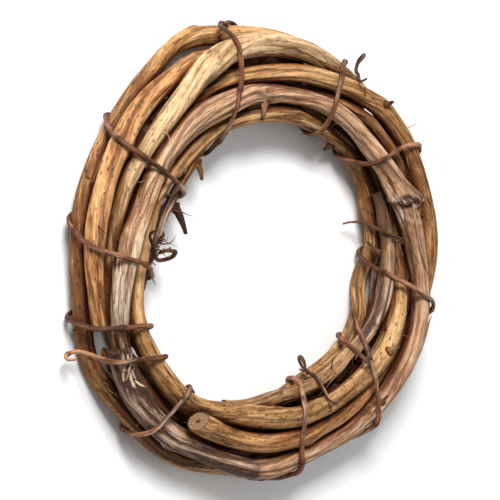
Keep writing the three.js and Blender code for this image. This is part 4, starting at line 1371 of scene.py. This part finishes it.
materials = {"binding": bark("binding_bark", BINDING_TONES, 101, 0.45),
             "tendril": bark("tendril_bark", TENDRIL_TONES, 117)}
for number, name in enumerate(sorted(set(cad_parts) - set(canes))):
    kind = name.split("_")[0]
    strip = vine_skin(name, np.random.default_rng(SEED + 100 + number))
    piece(name + "_vine", [strip], materials[kind], kind + "_bark", name)

# %% [markdown]
# ## Floor, light and camera
#
# The wreath lies on its back on a pale floor. The photograph looks at it from the front and well
# from the left, so the camera looks down from the left side, and is turned so that the top of
# the wreath stays up. Two large soft lamps and a white sky keep the shadows gentle, as in a
# photograph for a shop.

# %% Floor
FLOOR_HALF = 3000
floor_mesh = bpy.data.meshes.new("floor")
corners = np.array([(-1, -1, 0), (1, -1, 0), (1, 1, 0), (-1, 1, 0)]) * FLOOR_HALF * MM
floor_mesh.from_pydata(corners, [], [(0, 1, 2, 3)])
floor_mesh.materials.append(Shader("pale_floor").finish(PAPER_GLOSS, (0.92, 0.92, 0.92, 1), 0.9))
placed("floor", floor_mesh)

# %% Camera
VIEW_FROM_LEFT = np.radians(39)
DISTANCE = 470
FRAME_FILLED = 0.93
SENSOR = 36

back = np.array([-np.sin(VIEW_FROM_LEFT), 0, np.cos(VIEW_FROM_LEFT)])
upward = np.array([0, 1.0, 0])
right = np.cross(upward, back)
corners = np.concatenate([solid_mesh(name)[0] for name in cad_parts])
target = (corners.min(0) + corners.max(0)) / 2
for attempt in range(3):
    eye = target + DISTANCE * back
    depth = (eye - corners) @ back
    seen = np.stack([(corners - eye) @ right, (corners - eye) @ upward]) / depth
    off = (seen.min(1) + seen.max(1)) / 2 * DISTANCE
    target = target + off[0] * right + off[1] * upward
half_view = (np.ptp(seen, axis=1) / 2).max() / FRAME_FILLED
lens = bpy.data.cameras.new("camera")
lens.sensor_width = SENSOR
lens.lens = SENSOR / 2 / half_view
lens.clip_start, lens.clip_end = 0.01, 20
camera = placed("camera", lens)
rows = np.column_stack([right, upward, back, eye * MM])
camera.matrix_world = Matrix([*rows.tolist(), (0, 0, 0, 1)])
bpy.context.scene.camera = camera
print(f"lens {lens.lens:.0f} mm")

# %% Light
SKY = 0.33


def softbox(name, place, size, watts):
    """A square lamp at place in mm that shines on the wreath."""
    lamp = bpy.data.lights.new(name, "AREA")
    lamp.size, lamp.energy = size * MM, watts
    made = placed(name, lamp)
    made.location = Vector(place) * MM
    made.rotation_euler = (-made.location).to_track_quat("-Z", "Y").to_euler()


softbox("key", (-230, 320, 400), 200, 4.6)
softbox("fill", (520, -160, 520), 500, 1.0)
world = bpy.data.worlds.new("studio")
world.use_nodes = True
sky = world.node_tree.nodes["Background"].inputs
sky["Color"].default_value, sky["Strength"].default_value = (1, 1, 1, 1), SKY
bpy.context.scene.world = world
bpy.context.scene.view_settings.view_transform = "Standard"

# %% Bring the scene up to date
bpy.context.view_layer.update()
